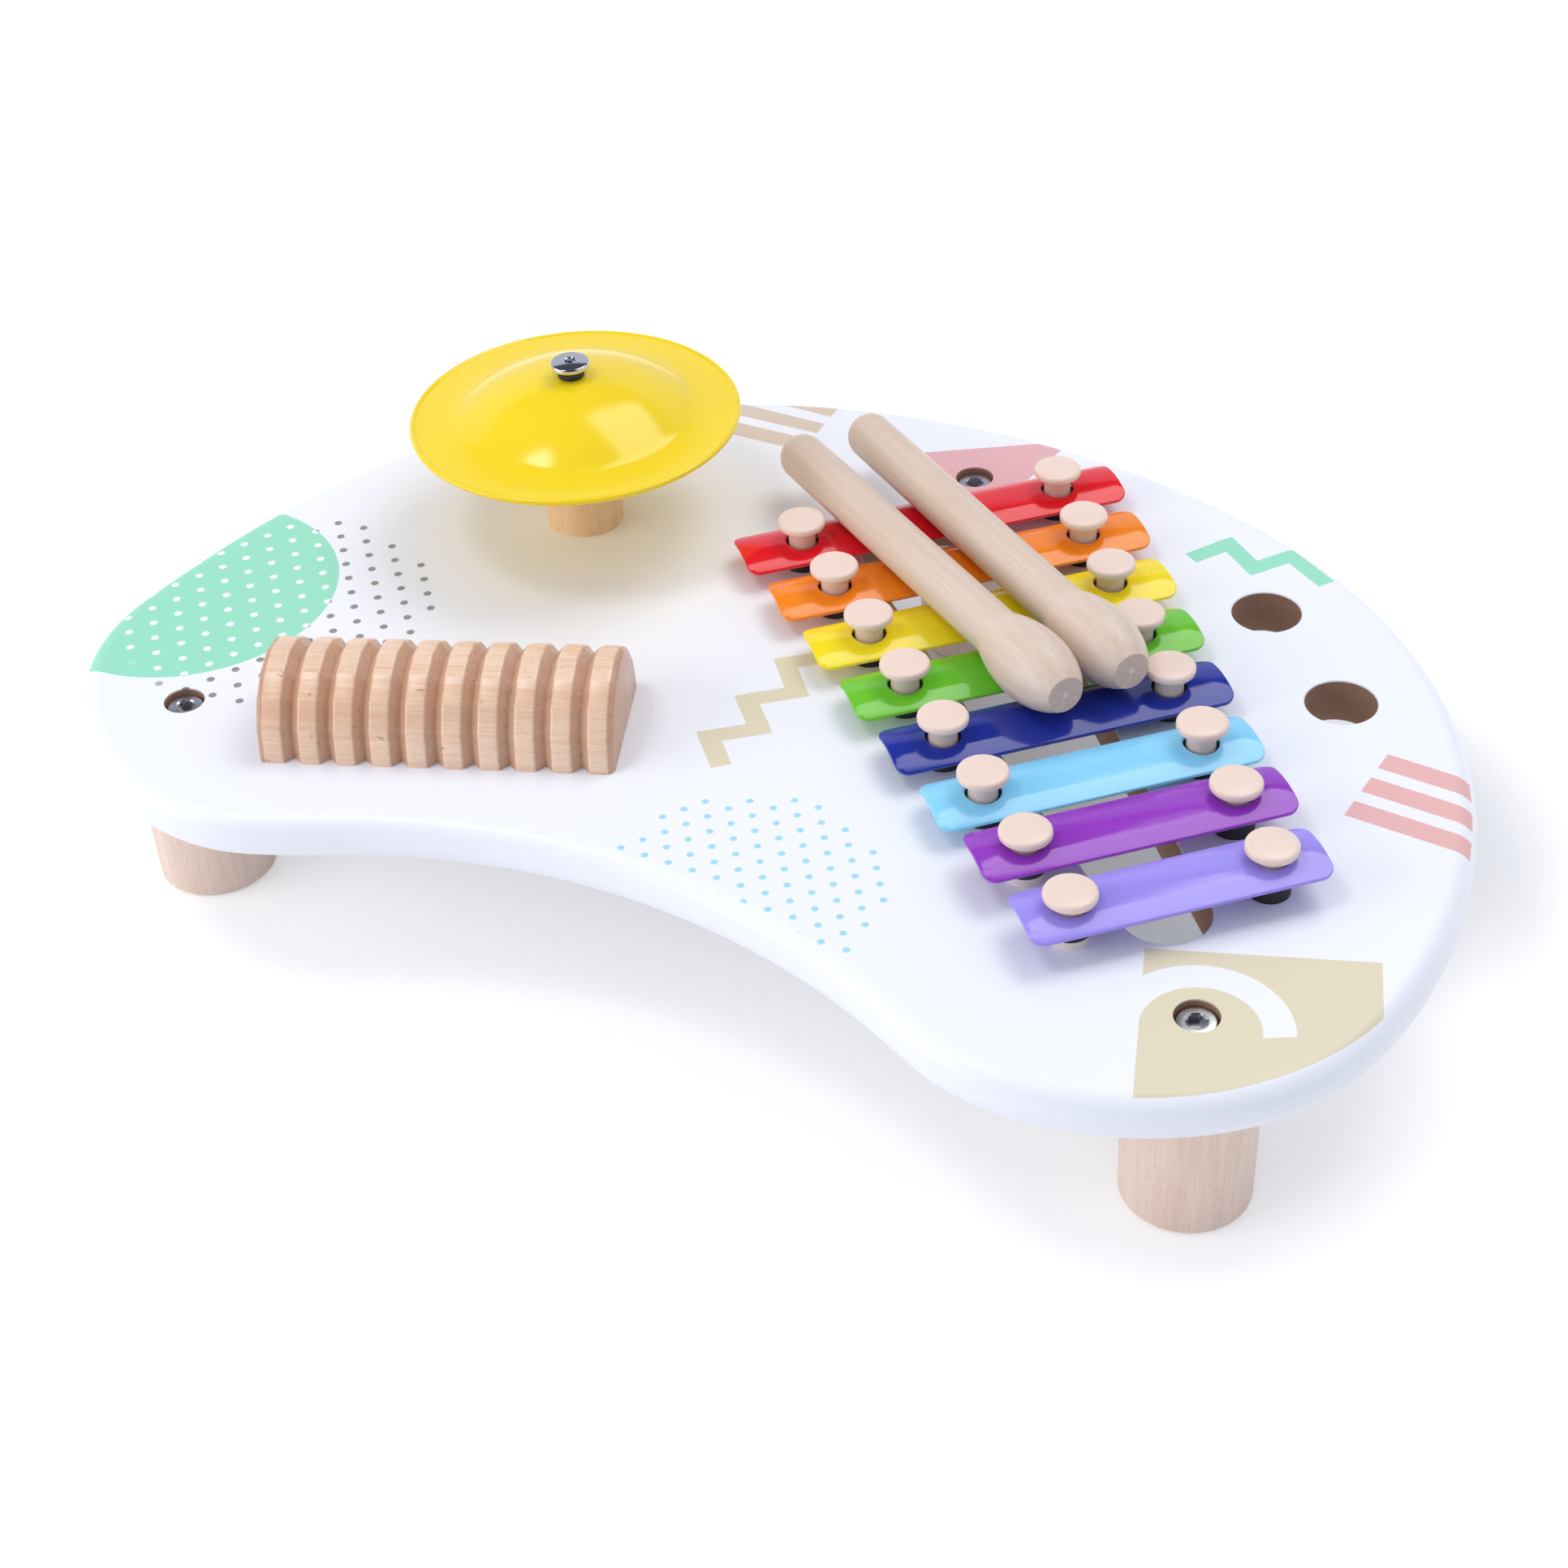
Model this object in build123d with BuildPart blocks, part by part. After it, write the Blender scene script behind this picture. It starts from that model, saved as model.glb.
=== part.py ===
from build123d import *
import math
import os

os.makedirs("parts", exist_ok=True)

# A low musical activity table for small children, all sizes in millimetres.
# The kidney-shaped board stands on three legs and carries a xylophone, a cymbal
# and a ribbed scraper. +X is along the board, the hollow front faces -Y, +Z is up
# and the feet stand on Z = 0 with the board's bounding box centred on X = Y = 0.

# Board and legs
BOARD_OUTLINE = (
    (-211.5, -48.1), (-195.2, -101.6), (-127.8, -134.6), (-88.6, -121.6), (-33.9, -108.6),
    (82.5, -132.9), (102.4, -142.9), (190.4, -117.7), (209.0, -73.7), (189.7, 43.5),
    (141.3, 100.6), (65.9, 137.0), (-16.6, 146.4), (-116.5, 117.2), (-157.0, 86.7),
)
BOARD_THICKNESS = 15.0
BOARD_EDGE_RADIUS = 6.0
RIM_RADIUS = 0.6
LEG_CENTRES = {"left": (-165.0, -89.5), "right": (159.5, -104.5), "rear": (10.5, 113.5)}
LEG_LENGTH = 48.0
LEG_TOP_DIAMETER = 37.4
LEG_FOOT_DIAMETER = 36.4
LEG_CHAMFER = 1.0
BOARD_BOTTOM = LEG_LENGTH
BOARD_TOP = BOARD_BOTTOM + BOARD_THICKNESS

# Leg bolts, M6 with a low head sunk in the board, and their inserts in the legs
RECESS_DIAMETER = 12.4
RECESS_DEPTH = 5.0
BOLT_HEAD_DIAMETER = 11.0
BOLT_HEAD_HEIGHT = 3.2
BOLT_DIAMETER = 6.0
BOLT_LENGTH = 24.0
BOLT_HOLE_DIAMETER = 6.6
SOCKET_WIDTH = 5.0
SOCKET_DEPTH = 2.2
BOLT_EDGE_CHAMFER = 0.5
INSERT_DIAMETER = 9.0
INSERT_LENGTH = 16.0
INSERT_SPARE_DEPTH = 2.0

# Fits: radial gaps between pieces
FIT = 0.05
SOFT_GAP = 0.3

# Sound slot under the bars and the two holes that hold the mallets
SLOT_WIDE_RADIUS = 24.0
SLOT_NARROW_RADIUS = 12.7
SLOT_WIDE_ALONG = 8.0
SLOT_NARROW_ALONG = 193.8
SLOT_ACROSS = -0.8
MALLET_HOLE_CENTRES = ((122.6, 74.4), (156.4, 38.3))
MALLET_HOLE_DIAMETER = 21.3

# Xylophone: the row starts at the longest bar and every bar is shorter than the last
BAR_COLOURS = ("red", "orange", "yellow", "green", "dark_blue", "light_blue", "purple", "lavender")
ROW_START = (10.7, 75.6)
ROW_ANGLE = -48.25
BAR_PITCH = 27.8
BAR_WIDTH = 22.0
BAR_SHEET = 1.0
BAR_RISE = 2.4
BAR_CORNER_RADIUS = 4.0
BAR_CROWN = 9.0
FIRST_BAR_LENGTH = 127.0
BAR_LENGTH_STEP = 5.8
FIRST_PIN_REACH = 43.1
PIN_REACH_STEP = 2.05
PIN_CAP_DIAMETER = 15.0
PIN_CAP_THICKNESS = 2.6
PIN_CAP_ROUNDING = 1.1
PIN_HEIGHT = 16.9
PIN_SHANK_DIAMETER = 8.5
PIN_TENON_DEPTH = 10.0
BAR_HOLE_DIAMETER = 10.5
PAD_DIAMETER = 12.0
SPACER_DIAMETER = 10.8
SPACER_HEIGHT = 3.2
SPACER_COLOURS = ("purple", "lavender")

# Cymbal on its post
POST_CENTRE = (-99.4, 45.3)
POST_DIAMETER = 25.0
POST_HEIGHT = 45.8
POST_CHAMFER = 1.5
CYMBAL_DIAMETER = 106.0
CYMBAL_HEIGHT = 14.3
CYMBAL_FLANGE_RISE = 1.5
CYMBAL_SHEET = 1.0
CYMBAL_BEAD_DIAMETER = 2.0
CYMBAL_HOLE_DIAMETER = 7.6
DOME_DIAMETER = 77.0
BUSH_DIAMETER = 12.0
BUSH_HEIGHT = 4.2
BUSH_NECK_DIAMETER = 6.6
BUSH_PLAY = 0.8
UPPER_BUSH_DIAMETER = 8.4
UPPER_BUSH_HEIGHT = 3.1
UPPER_BUSH_PLAY = 0.3
WASHER_DIAMETER = 16.0
WASHER_THICKNESS = 1.2
CYMBAL_SCREW_DIAMETER = 4.5
CYMBAL_SCREW_LENGTH = 28.0
CYMBAL_SCREW_HEAD_DIAMETER = 12.4
CYMBAL_SCREW_HEAD_HEIGHT = 2.2
CYMBAL_SCREW_RIM = 0.4
CYMBAL_SOCKET_WIDTH = 3.0
CYMBAL_SOCKET_DEPTH = 1.5

# Ribbed scraper (guiro)
GUIRO_CENTRE = (-83.6, -68.4)
GUIRO_ANGLE = 18.8
GUIRO_LENGTH = 105.4
GUIRO_WIDTH = 45.0
GUIRO_SIDE_HEIGHT = 2.5
GUIRO_FACETS = 8
GUIRO_GROOVES = 9
GROOVE_PITCH = 10.7
GROOVE_WIDTH = 5.5
GROOVE_DEPTH = 3.0
GUIRO_CHAMFER = 1.2

# Countersunk wood screws, driven up through the board into the post and the scraper
WOOD_SCREW_DIAMETER = 4.4
WOOD_SCREW_HOLE_DIAMETER = 4.6
WOOD_SCREW_HEAD_DIAMETER = 8.6
WOOD_SCREW_LENGTH = 32.0
WOOD_SCREW_TIP = 5.0
WOOD_SCREW_SINK = 0.3
COUNTERSINK_ANGLE = 90.0
GUIRO_SCREW_REACH = 32.1

# Mallets, lying across the bars: the flat end of the head (X, Y and the height above the
# board) and the way to the handle's tip
MALLETS = {"left": ((89.9, -15.0, 21.1), 142.7), "right": ((103.4, 2.8, 21.0), 141.7)}
MALLET_LENGTH = 166.5
MALLET_TILT = 1.9
HANDLE_RADIUS = 7.6
HEAD_LENGTH = 36.5
HEAD_END_RADIUS = 5.7
HEAD_RADIUS = 11.1
HEAD_WIDEST_AT = 19.0
HEAD_SHOULDER_AT = 4.0
HEAD_SHOULDER_RADIUS = 8.1


def along_angle(start, angle, distance):
    """Return the point that lies distance from start in the direction of angle (degrees)."""
    return (
        start[0] + distance * math.cos(math.radians(angle)),
        start[1] + distance * math.sin(math.radians(angle)),
    )


def heading(angle):
    """Return the horizontal unit direction at angle (degrees)."""
    return Vector(math.cos(math.radians(angle)), math.sin(math.radians(angle)), 0)


def row_point(along, across):
    """Return the point of the board at these distances along the row and along its bars."""
    return along_angle(along_angle(ROW_START, ROW_ANGLE, along), ROW_ANGLE + 90, across)


def level_plane(centre, height, angle=0.0):
    """Return a horizontal plane at height above the board's top, turned by angle."""
    return Plane(origin=(*centre, BOARD_TOP + height), x_dir=heading(angle), z_dir=(0, 0, 1))


def cross_section(centre, height, angle):
    """Return the upright plane across the direction of angle, its Y axis pointing up."""
    return Plane(origin=(*centre, BOARD_TOP + height), x_dir=heading(angle + 90), z_dir=heading(angle))


def turning_plane(centre, height=0.0):
    """Return the upright plane through a vertical axis: X is the radius and Y the height."""
    return Plane(origin=(*centre, BOARD_TOP + height), x_dir=(1, 0, 0), z_dir=(0, -1, 0))


def vertical_axis(centre):
    """Return the vertical axis through centre."""
    return Axis((*centre, 0), (0, 0, 1))


def save(builder, name):
    """Label one finished piece and write it."""
    builder.part.label = name
    export_step(builder.part, f"parts/{name}.step")


GUIRO_SCREW_CENTRES = [
    along_angle(GUIRO_CENTRE, GUIRO_ANGLE, reach) for reach in (-GUIRO_SCREW_REACH, GUIRO_SCREW_REACH)
]
BAR_CENTRES = [row_point(number * BAR_PITCH, 0) for number in range(len(BAR_COLOURS))]
PIN_REACHES = [FIRST_PIN_REACH - number * PIN_REACH_STEP for number in range(len(BAR_COLOURS))]
BAR_ANGLE = ROW_ANGLE + 90

# Board
with BuildPart() as table_top:
    with BuildSketch(Plane.XY.offset(BOARD_BOTTOM)):
        with BuildLine():
            Spline(*BOARD_OUTLINE, periodic=True)
        make_face()
    extrude(amount=BOARD_THICKNESS)
    fillet(table_top.edges(), BOARD_EDGE_RADIUS)
    with BuildSketch(Plane.XY.offset(BOARD_BOTTOM)):
        with Locations(row_point(SLOT_WIDE_ALONG, SLOT_ACROSS)):
            Circle(SLOT_WIDE_RADIUS)
        with Locations(row_point(SLOT_NARROW_ALONG, SLOT_ACROSS)):
            Circle(SLOT_NARROW_RADIUS)
        make_hull()
        with Locations(*MALLET_HOLE_CENTRES):
            Circle(MALLET_HOLE_DIAMETER / 2)
    extrude(amount=BOARD_THICKNESS, mode=Mode.SUBTRACT)
    fillet(table_top.edges(Select.LAST).filter_by(Plane.XY), RIM_RADIUS)
    with Locations(*[(*centre, BOARD_TOP) for centre in LEG_CENTRES.values()]):
        CounterBoreHole(BOLT_HOLE_DIAMETER / 2, RECESS_DIAMETER / 2, RECESS_DEPTH)
    for centre, reach in zip(BAR_CENTRES, PIN_REACHES):
        with Locations(level_plane(centre, 0, BAR_ANGLE)):
            with Locations((-reach, 0), (reach, 0)):
                Hole(PIN_SHANK_DIAMETER / 2 + FIT, PIN_TENON_DEPTH + FIT)
    for centre in (POST_CENTRE, *GUIRO_SCREW_CENTRES):
        with Locations(Plane(origin=(*centre, BOARD_BOTTOM), z_dir=(0, 0, -1))):
            CounterSinkHole(
                WOOD_SCREW_HOLE_DIAMETER / 2,
                WOOD_SCREW_HEAD_DIAMETER / 2 + WOOD_SCREW_SINK,
                counter_sink_angle=COUNTERSINK_ANGLE,
            )
save(table_top, "table_top")

# Legs, each drilled for its insert
for side, centre in LEG_CENTRES.items():
    with BuildPart() as leg:
        with BuildSketch(Plane(origin=(*centre, 0))):
            Circle(LEG_FOOT_DIAMETER / 2)
        with BuildSketch(Plane(origin=(*centre, LEG_LENGTH))):
            Circle(LEG_TOP_DIAMETER / 2)
        loft()
        chamfer(leg.edges().sort_by(Axis.Z)[0], LEG_CHAMFER)
        with Locations((*centre, LEG_LENGTH)):
            Hole(INSERT_DIAMETER / 2 + FIT, INSERT_LENGTH + INSERT_SPARE_DEPTH)
    save(leg, f"leg_{side}")

    with BuildPart() as leg_insert:
        with BuildSketch(Plane(origin=(*centre, LEG_LENGTH - INSERT_LENGTH))):
            Circle(INSERT_DIAMETER / 2)
            Circle(BOLT_DIAMETER / 2 + FIT, mode=Mode.SUBTRACT)
        extrude(amount=INSERT_LENGTH)
    save(leg_insert, f"leg_insert_{side}")

    with BuildPart() as leg_bolt:
        with BuildSketch(level_plane(centre, -RECESS_DEPTH)):
            Circle(BOLT_HEAD_DIAMETER / 2)
        extrude(amount=BOLT_HEAD_HEIGHT)
        chamfer(leg_bolt.edges().group_by(Axis.Z)[-1], BOLT_EDGE_CHAMFER)
        with BuildSketch(level_plane(centre, -RECESS_DEPTH + BOLT_HEAD_HEIGHT)):
            RegularPolygon(SOCKET_WIDTH / 2, 6, major_radius=False)
        extrude(amount=-SOCKET_DEPTH, mode=Mode.SUBTRACT)
        with BuildSketch(level_plane(centre, -RECESS_DEPTH)):
            Circle(BOLT_DIAMETER / 2)
        extrude(amount=-BOLT_LENGTH)
        chamfer(leg_bolt.edges().group_by(Axis.Z)[0], BOLT_EDGE_CHAMFER)
    save(leg_bolt, f"leg_bolt_{side}")

# Bars, arched sheet with a loose hole for each pin
BAR_CURVE_RADIUS = ((BAR_WIDTH / 2) ** 2 + BAR_RISE**2) / (2 * BAR_RISE)
BAR_UNDERSIDE_RADIUS = BAR_CURVE_RADIUS - BAR_SHEET
PAD_TOP = (
    BAR_CROWN
    - BAR_CURVE_RADIUS
    + math.sqrt(BAR_UNDERSIDE_RADIUS**2 - (PAD_DIAMETER / 2) ** 2)
    - SOFT_GAP
)

for number, (colour, centre, reach) in enumerate(zip(BAR_COLOURS, BAR_CENTRES, PIN_REACHES)):
    bar_length = FIRST_BAR_LENGTH - number * BAR_LENGTH_STEP
    spacer_height = SPACER_HEIGHT if colour in SPACER_COLOURS else 0.0
    with BuildPart() as bar:
        with BuildSketch(cross_section(centre, spacer_height, BAR_ANGLE)):
            with Locations((0, BAR_CROWN - BAR_CURVE_RADIUS)):
                Circle(BAR_CURVE_RADIUS)
                Circle(BAR_UNDERSIDE_RADIUS, mode=Mode.SUBTRACT)
        extrude(amount=bar_length / 2, both=True)
        with BuildSketch(level_plane(centre, spacer_height, BAR_ANGLE)):
            RectangleRounded(bar_length, BAR_WIDTH, BAR_CORNER_RADIUS)
            with Locations((-reach, 0), (reach, 0)):
                Circle(BAR_HOLE_DIAMETER / 2, mode=Mode.SUBTRACT)
        extrude(amount=2 * BAR_CROWN, mode=Mode.INTERSECT)
    save(bar, f"bar_{colour}")

    with BuildPart() as bar_pins:
        with BuildSketch(level_plane(centre, -PIN_TENON_DEPTH, BAR_ANGLE)):
            with Locations((-reach, 0), (reach, 0)):
                Circle(PIN_SHANK_DIAMETER / 2)
        extrude(amount=PIN_TENON_DEPTH + PIN_HEIGHT - PIN_CAP_THICKNESS)
        with BuildSketch(level_plane(centre, PIN_HEIGHT - PIN_CAP_THICKNESS, BAR_ANGLE)):
            with Locations((-reach, 0), (reach, 0)):
                Circle(PIN_CAP_DIAMETER / 2)
        extrude(amount=PIN_CAP_THICKNESS)
        fillet(bar_pins.edges().group_by(Axis.Z)[-1], PIN_CAP_ROUNDING)
    save(bar_pins, f"pins_{colour}")

    with BuildPart() as bar_pads:
        for across, pad_bottom in ((-reach, spacer_height), (reach, 0.0)):
            with BuildSketch(level_plane(centre, pad_bottom, BAR_ANGLE)):
                with Locations((across, 0)):
                    Circle(PAD_DIAMETER / 2)
                    Circle(PIN_SHANK_DIAMETER / 2 + FIT, mode=Mode.SUBTRACT)
            extrude(amount=PAD_TOP + spacer_height - pad_bottom)
    save(bar_pads, f"pads_{colour}")

    if colour in SPACER_COLOURS:
        with BuildPart() as spacer:
            with BuildSketch(level_plane(centre, 0, BAR_ANGLE)):
                with Locations((-reach, 0)):
                    Circle(SPACER_DIAMETER / 2)
                    Circle(PIN_SHANK_DIAMETER / 2 + FIT, mode=Mode.SUBTRACT)
            extrude(amount=SPACER_HEIGHT)
        save(spacer, f"spacer_{colour}")

# Cymbal: a round dome in a nearly flat flange with a rolled edge, loose on its bush
BUSH_BOTTOM = POST_HEIGHT + WASHER_THICKNESS
BUSH_TOP = BUSH_BOTTOM + BUSH_HEIGHT
CYMBAL_TOP = BUSH_TOP + BUSH_PLAY + CYMBAL_SHEET
CYMBAL_RIM_HEIGHT = CYMBAL_TOP - CYMBAL_HEIGHT
DOME_BASE = CYMBAL_RIM_HEIGHT + CYMBAL_FLANGE_RISE
DOME_RISE = CYMBAL_HEIGHT - CYMBAL_FLANGE_RISE
DOME_CURVE_RADIUS = ((DOME_DIAMETER / 2) ** 2 + DOME_RISE**2) / (2 * DOME_RISE)
BEAD_CENTRE = CYMBAL_DIAMETER / 2 - CYMBAL_BEAD_DIAMETER / 2

with BuildPart() as cymbal:
    with BuildSketch(turning_plane(POST_CENTRE)):
        with Locations((0, CYMBAL_TOP - DOME_CURVE_RADIUS)):
            Circle(DOME_CURVE_RADIUS)
            Circle(DOME_CURVE_RADIUS - CYMBAL_SHEET, mode=Mode.SUBTRACT)
        with Locations((CYMBAL_HOLE_DIAMETER / 2, DOME_BASE)):
            Rectangle(
                (DOME_DIAMETER - CYMBAL_HOLE_DIAMETER) / 2,
                2 * DOME_RISE,
                align=(Align.MIN, Align.MIN),
                mode=Mode.INTERSECT,
            )
        with BuildLine():
            Polyline(
                (DOME_DIAMETER / 2 - CYMBAL_SHEET, DOME_BASE),
                (DOME_DIAMETER / 2, DOME_BASE + CYMBAL_SHEET / 2),
                (BEAD_CENTRE, CYMBAL_RIM_HEIGHT + CYMBAL_SHEET / 2),
                (BEAD_CENTRE, CYMBAL_RIM_HEIGHT - CYMBAL_SHEET / 2),
                (DOME_DIAMETER / 2, DOME_BASE - CYMBAL_SHEET / 2),
                close=True,
            )
        make_face()
        with Locations((BEAD_CENTRE, CYMBAL_RIM_HEIGHT)):
            Circle(CYMBAL_BEAD_DIAMETER / 2)
    revolve(axis=vertical_axis(POST_CENTRE))
save(cymbal, "cymbal")

# The stack on the post: steel washer, rubber bush through the cymbal, rubber collar, screw
COLLAR_BOTTOM = CYMBAL_TOP + UPPER_BUSH_PLAY
SCREW_SEAT = COLLAR_BOTTOM + UPPER_BUSH_HEIGHT
STACK_BORE_RADIUS = CYMBAL_SCREW_DIAMETER / 2 + FIT
SCREW_DOME_RISE = CYMBAL_SCREW_HEAD_HEIGHT - CYMBAL_SCREW_RIM
SCREW_DOME_RADIUS = ((CYMBAL_SCREW_HEAD_DIAMETER / 2) ** 2 + SCREW_DOME_RISE**2) / (2 * SCREW_DOME_RISE)

with BuildPart() as cymbal_post:
    with BuildSketch(level_plane(POST_CENTRE, 0)):
        Circle(POST_DIAMETER / 2)
    extrude(amount=POST_HEIGHT)
    chamfer(cymbal_post.edges().group_by(Axis.Z)[-1], POST_CHAMFER)
    with Locations(level_plane(POST_CENTRE, POST_HEIGHT)):
        Hole(STACK_BORE_RADIUS, CYMBAL_SCREW_LENGTH - (SCREW_SEAT - POST_HEIGHT) + FIT)
    with Locations(Plane(origin=(*POST_CENTRE, BOARD_TOP), z_dir=(0, 0, -1))):
        Hole(WOOD_SCREW_DIAMETER / 2 + FIT, WOOD_SCREW_LENGTH - BOARD_THICKNESS + FIT)
save(cymbal_post, "cymbal_post")

with BuildPart() as cymbal_washer:
    with BuildSketch(level_plane(POST_CENTRE, POST_HEIGHT)):
        Circle(WASHER_DIAMETER / 2)
        Circle(STACK_BORE_RADIUS, mode=Mode.SUBTRACT)
    extrude(amount=WASHER_THICKNESS)
save(cymbal_washer, "cymbal_washer")

with BuildPart() as cymbal_bush:
    with BuildSketch(level_plane(POST_CENTRE, BUSH_BOTTOM)):
        Circle(BUSH_DIAMETER / 2)
    extrude(amount=BUSH_HEIGHT)
    with BuildSketch(level_plane(POST_CENTRE, BUSH_TOP)):
        Circle(BUSH_NECK_DIAMETER / 2)
    extrude(amount=COLLAR_BOTTOM - BUSH_TOP)
    with Locations(level_plane(POST_CENTRE, COLLAR_BOTTOM)):
        Hole(STACK_BORE_RADIUS)
save(cymbal_bush, "cymbal_bush")

with BuildPart() as cymbal_collar:
    with BuildSketch(level_plane(POST_CENTRE, COLLAR_BOTTOM + FIT)):
        Circle(UPPER_BUSH_DIAMETER / 2)
        Circle(STACK_BORE_RADIUS, mode=Mode.SUBTRACT)
    extrude(amount=UPPER_BUSH_HEIGHT - 2 * FIT)
save(cymbal_collar, "cymbal_collar")

with BuildPart() as cymbal_screw:
    with BuildSketch(level_plane(POST_CENTRE, SCREW_SEAT)):
        Circle(CYMBAL_SCREW_HEAD_DIAMETER / 2)
    extrude(amount=CYMBAL_SCREW_HEAD_HEIGHT)
    with Locations((*POST_CENTRE, BOARD_TOP + SCREW_SEAT + CYMBAL_SCREW_HEAD_HEIGHT - SCREW_DOME_RADIUS)):
        Sphere(SCREW_DOME_RADIUS, mode=Mode.INTERSECT)
    with BuildSketch(level_plane(POST_CENTRE, SCREW_SEAT)):
        Circle(CYMBAL_SCREW_DIAMETER / 2)
    extrude(amount=-CYMBAL_SCREW_LENGTH)
    chamfer(cymbal_screw.edges().group_by(Axis.Z)[0], BOLT_EDGE_CHAMFER)
    with BuildSketch(level_plane(POST_CENTRE, SCREW_SEAT + CYMBAL_SCREW_HEAD_HEIGHT)):
        RegularPolygon(CYMBAL_SOCKET_WIDTH / 2, 6, major_radius=False)
    extrude(amount=-CYMBAL_SOCKET_DEPTH, mode=Mode.SUBTRACT)
save(cymbal_screw, "cymbal_screw")

# Scraper: a half-round block of flat facets, with V grooves that follow its outline
GUIRO_RADIUS = GUIRO_WIDTH / 2
FACET_ANGLE = 180 / GUIRO_FACETS
GROOVE_FLANK_ANGLE = math.degrees(math.atan2(GROOVE_DEPTH, GROOVE_WIDTH / 2))
GUIRO_RIBS = GUIRO_GROOVES + 1
FIRST_GROOVE = -(GUIRO_GROOVES - 1) / 2 * GROOVE_PITCH
GUIRO_PROFILE = [
    (-GUIRO_RADIUS, -GROOVE_DEPTH * 2),
    *[
        (
            -GUIRO_RADIUS * math.cos(math.radians(step * FACET_ANGLE)),
            GUIRO_SIDE_HEIGHT + GUIRO_RADIUS * math.sin(math.radians(step * FACET_ANGLE)),
        )
        for step in range(GUIRO_FACETS + 1)
    ],
    (GUIRO_RADIUS, -GROOVE_DEPTH * 2),
]

with BuildPart() as guiro:
    rib_start = -GUIRO_LENGTH / 2
    for number in range(GUIRO_RIBS):
        is_last = number == GUIRO_RIBS - 1
        groove = FIRST_GROOVE + number * GROOVE_PITCH
        rib_end = GUIRO_LENGTH / 2 if is_last else groove - GROOVE_WIDTH / 2
        with BuildSketch(cross_section(along_angle(GUIRO_CENTRE, GUIRO_ANGLE, rib_start), 0, GUIRO_ANGLE)):
            Polygon(*GUIRO_PROFILE, align=None)
        extrude(amount=rib_end - rib_start)
        rib_start = groove + GROOVE_WIDTH / 2
        if not is_last:
            for groove_side in (rib_end, rib_start):
                with BuildSketch(
                    cross_section(along_angle(GUIRO_CENTRE, GUIRO_ANGLE, groove_side), 0, GUIRO_ANGLE)
                ):
                    Polygon(*GUIRO_PROFILE, align=None)
                extrude(amount=groove - groove_side, taper=GROOVE_FLANK_ANGLE)
    split(bisect_by=Plane.XY.offset(BOARD_TOP), keep=Keep.TOP)
    guiro_axis = Axis((*GUIRO_CENTRE, BOARD_TOP), heading(GUIRO_ANGLE))
    for end_face in (guiro.faces().sort_by(guiro_axis)[0], guiro.faces().sort_by(guiro_axis)[-1]):
        chamfer(end_face.edges().sort_by(Axis.Z)[1:], GUIRO_CHAMFER)
    for centre in GUIRO_SCREW_CENTRES:
        with Locations(Plane(origin=(*centre, BOARD_TOP), z_dir=(0, 0, -1))):
            Hole(WOOD_SCREW_DIAMETER / 2 + FIT, WOOD_SCREW_LENGTH - BOARD_THICKNESS + FIT)
save(guiro, "guiro")

# Wood screws
WOOD_SCREW_GROUPS = {"post_screw": [POST_CENTRE], "guiro_screws": GUIRO_SCREW_CENTRES}
WOOD_SCREW_HEAD_LENGTH = (WOOD_SCREW_HEAD_DIAMETER - WOOD_SCREW_DIAMETER) / 2

for name, centres in WOOD_SCREW_GROUPS.items():
    with BuildPart() as wood_screws:
        for centre in centres:
            with BuildSketch(turning_plane(centre, WOOD_SCREW_SINK - BOARD_THICKNESS)):
                with BuildLine():
                    Polyline(
                        (0, 0),
                        (WOOD_SCREW_HEAD_DIAMETER / 2, 0),
                        (WOOD_SCREW_DIAMETER / 2, WOOD_SCREW_HEAD_LENGTH),
                        (WOOD_SCREW_DIAMETER / 2, WOOD_SCREW_LENGTH - WOOD_SCREW_SINK - WOOD_SCREW_TIP),
                        (0, WOOD_SCREW_LENGTH - WOOD_SCREW_SINK),
                        close=True,
                    )
                make_face()
            revolve(axis=vertical_axis(centre))
    save(wood_screws, name)

# Mallets, turned in one piece
for side, ((end_x, end_y, end_height), way) in MALLETS.items():
    tilt = math.radians(MALLET_TILT)
    lie = heading(way) * math.cos(tilt) - Vector(0, 0, math.sin(tilt))
    mallet_plane = Plane(origin=(end_x, end_y, BOARD_TOP + end_height), x_dir=lie, z_dir=heading(way - 90))
    with BuildPart() as mallet:
        with BuildSketch(mallet_plane):
            with BuildLine():
                head_end = Line((0, 0), (0, HEAD_END_RADIUS))
                head_curve = Spline(
                    head_end @ 1,
                    (HEAD_SHOULDER_AT, HEAD_SHOULDER_RADIUS),
                    (HEAD_WIDEST_AT, HEAD_RADIUS),
                    (HEAD_LENGTH, HANDLE_RADIUS),
                )
                handle = Line(head_curve @ 1, (MALLET_LENGTH - HANDLE_RADIUS, HANDLE_RADIUS))
                tip = RadiusArc(handle @ 1, (MALLET_LENGTH, 0), HANDLE_RADIUS)
                Line(tip @ 1, head_end @ 0)
            make_face()
        revolve(axis=Axis(mallet_plane.origin, lie))
    save(mallet, f"mallet_{side}")
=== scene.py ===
"""Looks of a low musical activity table for small children.

A kidney-shaped board on three legs carries a bar xylophone, a cymbal and a ribbed scraper.
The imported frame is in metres. Sizes in this file are in millimetres unless they say otherwise.
"""

import logging
import math
from collections.abc import Sequence
from dataclasses import dataclass, field
from enum import Enum

import bmesh
import bpy
from mathutils import Matrix, Vector


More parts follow.
